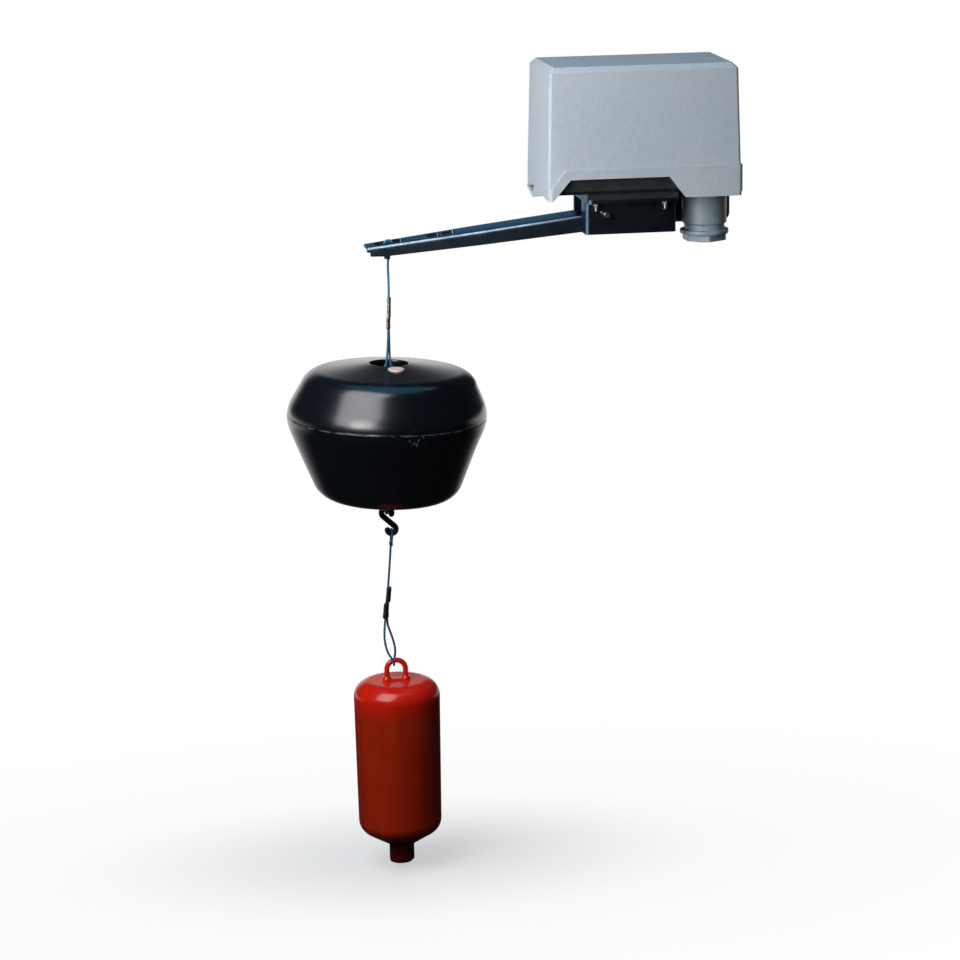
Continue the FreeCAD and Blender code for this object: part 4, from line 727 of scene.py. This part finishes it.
def latheShell(profile, steps, bend, middle, tilt):
    # surface of revolution of a closed (r, z) profile; `bend` then moves its points a little
    profile = np.asarray(profile, float)
    angle = np.linspace(0, 2 * pi, steps, endpoint=False)[None, :]
    grid = bend(turned(profile, steps), angle, profile[:, 0][:, None], profile[:, 1][:, None])
    return hungAt(grid, middle, tilt) * mm, gridFaces(len(profile), steps, True, True)


def settle(name, parts, material, body, node):
    # parts joined to one piece, which replaces a node of the CAD model
    points, faces = joinParts(parts)
    piece = makePiece(name, points, faces, material, body)
    outward(piece)
    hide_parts(node)


def floatBend(grid, angle, r, z):
    # the outer skin sways aside by a sine of the height, and the weld stands proud as an uneven bead
    wave = np.sin(pi * (z - floatShape["swayFrom"]) / floatShape["swaySpan"])
    sway = floatShape["sway"] * wave * np.clip(r / 20, 0, 1)
    uneven = 1 + 0.5 * np.sin(7 * angle + 1) + 0.4 * np.sin(17 * angle)
    near = np.exp(-((z - floatShape["seam"]) / floatShape["beadHeight"]) ** 2)
    bead = floatShape["weldBead"] * uneven * near * (r > floatShape["beadOutside"])
    grow = 1 + bead / np.maximum(r, 1)
    return np.stack([grid[..., 0] * grow + sway, grid[..., 1] * grow, grid[..., 2]], -1)


# profiles as (r, z, corner radius): skin is the outside, hull the same without the recess, for the inside
seam = floatShape["seam"]
skin = rounded([(1.4, 11.1, 0), (10.3, 11.1, 2.0), (10.3, 28.1, 0.8), (44.6, 23.2, 11.5), (56.1, 0, 19.5),
                (36.9, -47.1, 14.8), (1.4, -47.1, 0)], 30, closed=False)
skinTop, skinLow = parted(spaced(skin, floatShape["fine"]), seam)
hull = spaced(rounded([(13.0, 27.7, 0), (44.6, 23.2, 11.5), (56.1, 0, 19.5), (36.9, -47.1, 14.8),
                       (4.5, -47.1, 0)], 30, closed=False), floatShape["coarse"])
hullTop, hullLow = parted(insideOf(hull, floatShape["wall"]), seam)
topProfile = np.vstack([skinTop, hullTop[::-1],
                        [(12.7, 24.9), (12.7, 8.7), (4.5, 8.7), (4.5, seam), (1.4, seam)]])
lowProfile = np.vstack([skinLow, [(1.4, seam), (4.5, seam), (4.5, -44.7)], hullLow[::-1]])
for name, profile, node in (("floatUpperShell", topProfile, "float_top_half"),
                            ("floatLowerShell", lowProfile, "float_bottom_half")):
    shell = latheShell(profile, floatShape["steps"], floatBend, floatAt, floatShape["tilt"])
    settle(name, [shell], finishes["floatPlastic"], "float", node)

# the plug stands square to the sloping face; its lip is rounded and its middle slightly hollow
plugShape = {"aside": (1.9, -15.3), "height": 27.37, "slope": 2.0, "uneven": 0.05, "steps": 64, "step": 0.5}
plugShape["turn"] = atan2(plugShape["aside"][1], plugShape["aside"][0])
plugProfile = spaced(rounded([(0, 0.24, 0), (2.2, 0.26, 2.0), (3.5, 0.48, 0.8), (4.40, 0.38, 0.3),
                              (4.45, -0.3, 0.2), (4.4, -0.5, 0), (4.4, -1.1, 0), (2.6, -1.2, 0),
                              (2.6, -5.9, 0.5), (0, -5.9, 0)], 8, closed=False), plugShape["step"])


def plugBend(grid, angle, r, z):
    # leans outwards with the float's face: u runs away from the float's middle, v across, h up
    lean, turn = radians(plugShape["slope"]), plugShape["turn"]
    tall = 1 + plugShape["uneven"] * np.sin(3 * angle + 0.8) * (z > 0)
    x, y, h = grid[..., 0], grid[..., 1], grid[..., 2] * tall
    u = x * cos(turn) + y * sin(turn)
    v = -x * sin(turn) + y * cos(turn)
    u, h = u * cos(lean) + h * sin(lean), h * cos(lean) - u * sin(lean)
    return np.stack([plugShape["aside"][0] + u * cos(turn) - v * sin(turn),
                     plugShape["aside"][1] + u * sin(turn) + v * cos(turn), plugShape["height"] + h], -1)


settle("fillerPlug", [latheShell(plugProfile, plugShape["steps"], plugBend, floatAt, floatShape["tilt"])],
       finishes["plugSilicone"], "float", "float_plug")
print("float made")


# weight: a hollow moulding with an eye on top; heights are below the top of the eye

weightShape = {"tilt": -0.55, "steps": 200, "step": 0.9, "eyeWire": 1.45, "eyeRadius": 5.2, "eyeSides": 24,
               "eyeFoot": -13.0, "padLength": 15.2, "padWidth": 5.0, "padTop": -10.3, "padSteps": 96,
               "flare": 1.1, "flareHeight": 0.9, "neckShift": 0.45, "neckFrom": -100, "wave": 0.0022}


def weightBend(grid, angle, r, z):
    # the neck stands a little aside, and the moulded side waves by a few hundredths
    aside = weightShape["neckShift"] * np.clip((weightShape["neckFrom"] - z) / 6, 0, 1)
    wave = 1 + weightShape["wave"] * np.sin(2 * angle + z * 0.05) * (r > 15)
    return np.stack([grid[..., 0] * wave + aside, grid[..., 1] * wave, grid[..., 2]], -1)


# profiles as (r, z, corner radius): the skin from the neck's bore to the crown, and the room inside back down
weightSkin = spaced(rounded([(4.2, -115.2, 0), (6.9, -115.2, 0.9), (6.9, -105.8, 2.0), (22.85, -96.0, 8.5),
                             (24.0, -11.2, 9.0), (0, -11.2, 0)], 20, closed=False), weightShape["step"])
weightRoom = rounded([(0, -13.2, 0), (22.0, -13.2, 7.0), (20.85, -92.97, 6.5), (4.2, -103.2, 1.0),
                      (4.2, -115.2, 0)], 8, closed=False)[:-1]
weightParts = [latheShell(np.vstack([weightSkin, weightRoom]), weightShape["steps"], weightBend, weightAt,
                          weightShape["tilt"])]
# eye: two legs and a half circle, with feet that flare towards the pad
reach = weightShape["eyeRadius"]
leg = np.linspace(weightShape["eyeFoot"], -reach, 26)
half = np.linspace(pi, 0, 40)
archX = np.concatenate([0 * leg - reach, reach * np.cos(half)[1:-1], 0 * leg + reach])
archZ = np.concatenate([leg, -reach + reach * np.sin(half)[1:-1], leg[::-1]])
archPath = hungAt(np.stack([archX, 0 * archX, archZ], -1), weightAt, weightShape["tilt"]) * mm
foot = np.exp(-(np.maximum(archZ - weightShape["padTop"], 0) / weightShape["flareHeight"]) ** 1.5)
archTube = alongPath(archPath, (weightShape["eyeWire"] + weightShape["flare"] * foot) * mm,
                     weightShape["eyeSides"], (0, 1, 0))
weightParts.append((archTube, tubeFaces(archTube)))
# pad: rounded oblong, |x/a|^4 + |y/b|^4 = 1, closing in over its top edge
a = np.linspace(0, 2 * pi, weightShape["padSteps"], endpoint=False)
corner = (np.abs(np.cos(a)) ** 4 + np.abs(np.sin(a)) ** 4) ** -0.25
padRows = [(0.0, -12.4), (1.0, -12.4), (1.0, -10.8), (0.985, -10.5), (0.94, -10.34),
           (0.85, weightShape["padTop"]), (0.0, weightShape["padTop"])]
padGrid = np.array([np.stack([s * corner * np.cos(a) * weightShape["padLength"] / 2,
                              s * corner * np.sin(a) * weightShape["padWidth"] / 2, z + 0 * a], -1)
                    for s, z in padRows])
weightParts.append((hungAt(padGrid, weightAt, weightShape["tilt"]) * mm,
                    gridFaces(len(padRows), weightShape["padSteps"], False, True)))
settle("weightMoulding", weightParts, finishes["weightPvc"], "weight", "weight_body")
print("weight made")


# cable gland: lathe-turned shapes, the nut hexagonal below its ring

glandAt = (1.4, -18.0, 0.0)
glandShape = {"steps": 144, "step": 0.7, "fineStep": 0.35, "flat": 10.825, "corner": 12.15,
              "hexBelow": -13.35, "hexOutside": 9, "ringWave": 0.008, "ringFrom": -13.6,
              "ringTo": -10.7, "ringOutside": 12.3}


def glandBend(grid, angle, r, z):
    # below the ring: radius no more than flat / cos of the angle to the nearest flat, corners turned off
    off = (angle + pi / 6) % (pi / 3) - pi / 6
    six = np.minimum(glandShape["flat"] / np.cos(off), glandShape["corner"])
    hexagon = (z < glandShape["hexBelow"]) & (r > glandShape["hexOutside"])
    size = np.where(hexagon, np.minimum(r, six) / r, 1.0)
    # the ring's rim waves a little all round
    ring = (z < glandShape["ringTo"]) & (z > glandShape["ringFrom"]) & (r > glandShape["ringOutside"])
    size = size * np.where(ring, 1 + glandShape["ringWave"] * np.sin(9 * angle), 1.0)
    return np.stack([grid[..., 0] * size, grid[..., 1] * size, grid[..., 2]], -1)


glandBody = rounded([(5.6, -12.9, 0), (8.6, -12.9, 0.3), (8.6, -7.7, 0), (12.2, -7.7, 0.8), (12.2, 10.7, 0.5),
                     (10.8, 10.7, 0), (10.8, 12.7, 0), (7.2, 12.7, 0), (7.2, 21.7, 0.4), (5.6, 21.7, 0)], 6)
glandNut = rounded([(8.75, -7.8, 0), (11.0, -7.8, 0.3), (11.0, -10.9, 0.2), (13.2, -10.9, 0.6),
                    (13.2, -13.3, 0.6), (12.5, -13.4, 0), (12.5, -16.9, 0.7), (6.45, -16.9, 0.3),
                    (6.45, -15.7, 0), (8.75, -15.7, 0)], 6)
for name, profile, step, node in (("glandBody", glandBody, glandShape["step"], "gland_body"),
                                  ("glandNut", glandNut, glandShape["fineStep"], "gland_nut")):
    shell = latheShell(refined(profile, step), glandShape["steps"], glandBend, glandAt, 0)
    settle(name, [shell], finishes["glandNylon"], "housing", node)
print("gland made")


# light, floor and background

studio = {"floor": -0.3645, "floorReach": 4.0, "keyPower": 4.2, "keyPlace": (-0.477, -0.307, 0.248),
          "keySize": (0.46, 0.60), "aim": (-0.174, -0.014, -0.106), "gridPower": 0.26, "topPower": 1.3,
          "backPower": 5.5, "room": 0.04, "glint": 0.03, "backdrop": 1.0}
# the card under the object: distances in metres from the shadow's middle, or along Y for what mirrors see
cardShape = {"middle": (0.17, 0.0, 0.0), "paper": "#9a9a9a", "glow": 0.55, "whiteFrom": 0.20, "sheen": 0.06,
             "sheenFrom": 0.15, "sheenTo": 0.45, "stage": "#2e2e2e", "mirrorFrom": 0.25, "mirrorTo": 0.8}
pureWhite = (1, 1, 1, 1)


def addLamp(name, place, target, size, power, colour, spread=180):
    # a rectangular softbox, aimed at its target
    data = bpy.data.lights.new(name, "AREA")
    data.shape, data.energy = "RECTANGLE", power
    data.size, data.size_y = size
    data.color, data.spread = srgb(colour)[:3], radians(spread)
    lamp = bpy.data.objects.new(name, data)
    lamp.location = place
    lamp.rotation_euler = (Vector(target) - Vector(place)).to_track_quat("-Z", "Y").to_euler()
    bpy.context.scene.collection.objects.link(lamp)
    return lamp


addLamp("keySoftbox", studio["keyPlace"], studio["aim"], studio["keySize"], studio["keyPower"], "#f6f9ff")
# a box with a honeycomb grid, which lights the case and the gland alone
addLamp("gridSoftbox", (-0.34, -0.36, 0.10), (-0.03, -0.04, 0.03), (0.3, 0.3), studio["gridPower"],
        "#fffdf8", 60)
# a lamp behind, for the back and the right end; it makes no reflections, so the float's edge stays dark
backLamp = addLamp("backSoftbox", (0.35, 1.1, 0.0), (-0.1, 0, -0.1), (0.8, 0.8), studio["backPower"],
                   "#fbfcff")
backLamp.visible_glossy = False
# weak blue light from above
addLamp("topSoftbox", (-0.12, 0.05, 1.15), (-0.12, 0, 0), (1.2, 1.2), studio["topPower"], "#62d2ff", 100)


def studioWorld():
    # white for the camera, dim for the light it gives
    world = bpy.data.worlds.new("studioWorld")
    world.use_nodes = True
    bpy.context.scene.world = world
    tree = world.node_tree
    tree.nodes.clear()
    rays = addNode(tree, "LightPath").outputs
    direction = axes(tree, addNode(tree, "TexCoord").outputs["Generated"])
    # the white backdrop stands behind the object, up to about 20 degrees; the rest of the room is dim
    behind = spread(tree, direction[1], 0.0, 1.0, 0.91, 0.98)
    height = spread(tree, direction[2], 1.0, 0.0, 0.18, 0.42)
    sheet = maths(tree, "MULTIPLY", behind, height)
    shiny = maths(tree, "MAXIMUM", rays["Is Glossy Ray"], rays["Is Transmission Ray"])
    mirrored = maths(tree, "MULTIPLY", shiny, sheet)
    seen = maths(tree, "MAXIMUM", rays["Is Camera Ray"], mirrored)
    dim = addNode(tree, "Background", {"Color": pureWhite, "Strength": studio["room"]}).outputs[0]
    cool = addNode(tree, "Background", {"Color": (0.62, 0.84, 1, 1), "Strength": studio["glint"]}).outputs[0]
    dim = addNode(tree, "MixShader", {0: shiny, 1: dim, 2: cool}).outputs[0]
    white = addNode(tree, "Background", {"Color": pureWhite, "Strength": studio["backdrop"]}).outputs[0]
    both = addNode(tree, "MixShader", {0: seen, 1: dim, 2: white}).outputs[0]
    addNode(tree, "OutputWorld", {"Surface": both})


def floorCard():
    # a sheet of white card with a soft sheen
    material, tree, shader, place = newFinish("whiteFloor")
    tree.nodes.remove(shader)
    rays = addNode(tree, "LightPath").outputs
    # white card: lit near the object, where the shadow falls, and glowing white further out
    spot = addNode(tree, "Mapping", {"Vector": place, "Location": cardShape["middle"],
                                     "Scale": (1.0, 1.7, 0.0)})
    away = addNode(tree, "VectorMath", {0: spot.outputs[0]}, operation="LENGTH").outputs["Value"]
    far = addNode(tree, "MapRange", {0: away, 1: 0.0, 2: cardShape["whiteFrom"], 3: 0.0, 4: 1.0},
                  interpolation_type="SMOOTHSTEP").outputs[0]
    paper = addNode(tree, "BsdfDiffuse", {"Color": srgb(cardShape["paper"])}).outputs[0]
    gloss = addNode(tree, "BsdfGlossy", {"Color": pureWhite, "Roughness": 0.04}).outputs[0]
    glow = addNode(tree, "Emission", {"Color": pureWhite, "Strength": cardShape["glow"]}).outputs[0]
    near = addNode(tree, "AddShader", {0: paper, 1: glow}).outputs[0]
    white = addNode(tree, "Emission", {"Color": pureWhite, "Strength": 1.0}).outputs[0]
    card = addNode(tree, "MixShader", {0: far, 1: near, 2: white}).outputs[0]
    # a faint mirror image near the object
    sheen = spread(tree, away, cardShape["sheen"], 0.0, cardShape["sheenFrom"], cardShape["sheenTo"])
    card = addNode(tree, "MixShader", {0: sheen, 1: card, 2: gloss}).outputs[0]
    # the camera sees that card; mirrored rays see it white behind the object and dark grey before it
    stage = addNode(tree, "BsdfDiffuse", {"Color": srgb(cardShape["stage"])}).outputs[0]
    behind = spread(tree, axes(tree, place)[1], 0.0, 1.0, cardShape["mirrorFrom"], cardShape["mirrorTo"])
    mirrored = addNode(tree, "MixShader", {0: behind, 1: stage, 2: white}).outputs[0]
    shiny = maths(tree, "MAXIMUM", rays["Is Glossy Ray"], rays["Is Transmission Ray"])
    other = addNode(tree, "MixShader", {0: shiny, 1: stage, 2: mirrored}).outputs[0]
    card = addNode(tree, "MixShader", {0: rays["Is Camera Ray"], 1: other, 2: card}).outputs[0]
    tree.links.new(card, tree.nodes["Material Output"].inputs["Surface"])
    return material


studioWorld()
corners = np.array([[-1, -1, 0], [1, -1, 0], [1, 1, 0], [-1, 1, 0]]) * studio["floorReach"]
corners = corners + (0, 0, studio["floor"])
floorMesh = bpy.data.meshes.new("floor")
floorMesh.from_pydata(corners.tolist(), [], [[0, 1, 2, 3]])
floorMesh.materials.append(floorCard())
floor = bpy.data.objects.new("floor", floorMesh)
bpy.context.scene.collection.objects.link(floor)

bpy.context.scene.view_settings.view_transform = "Standard"
print("scene ready")
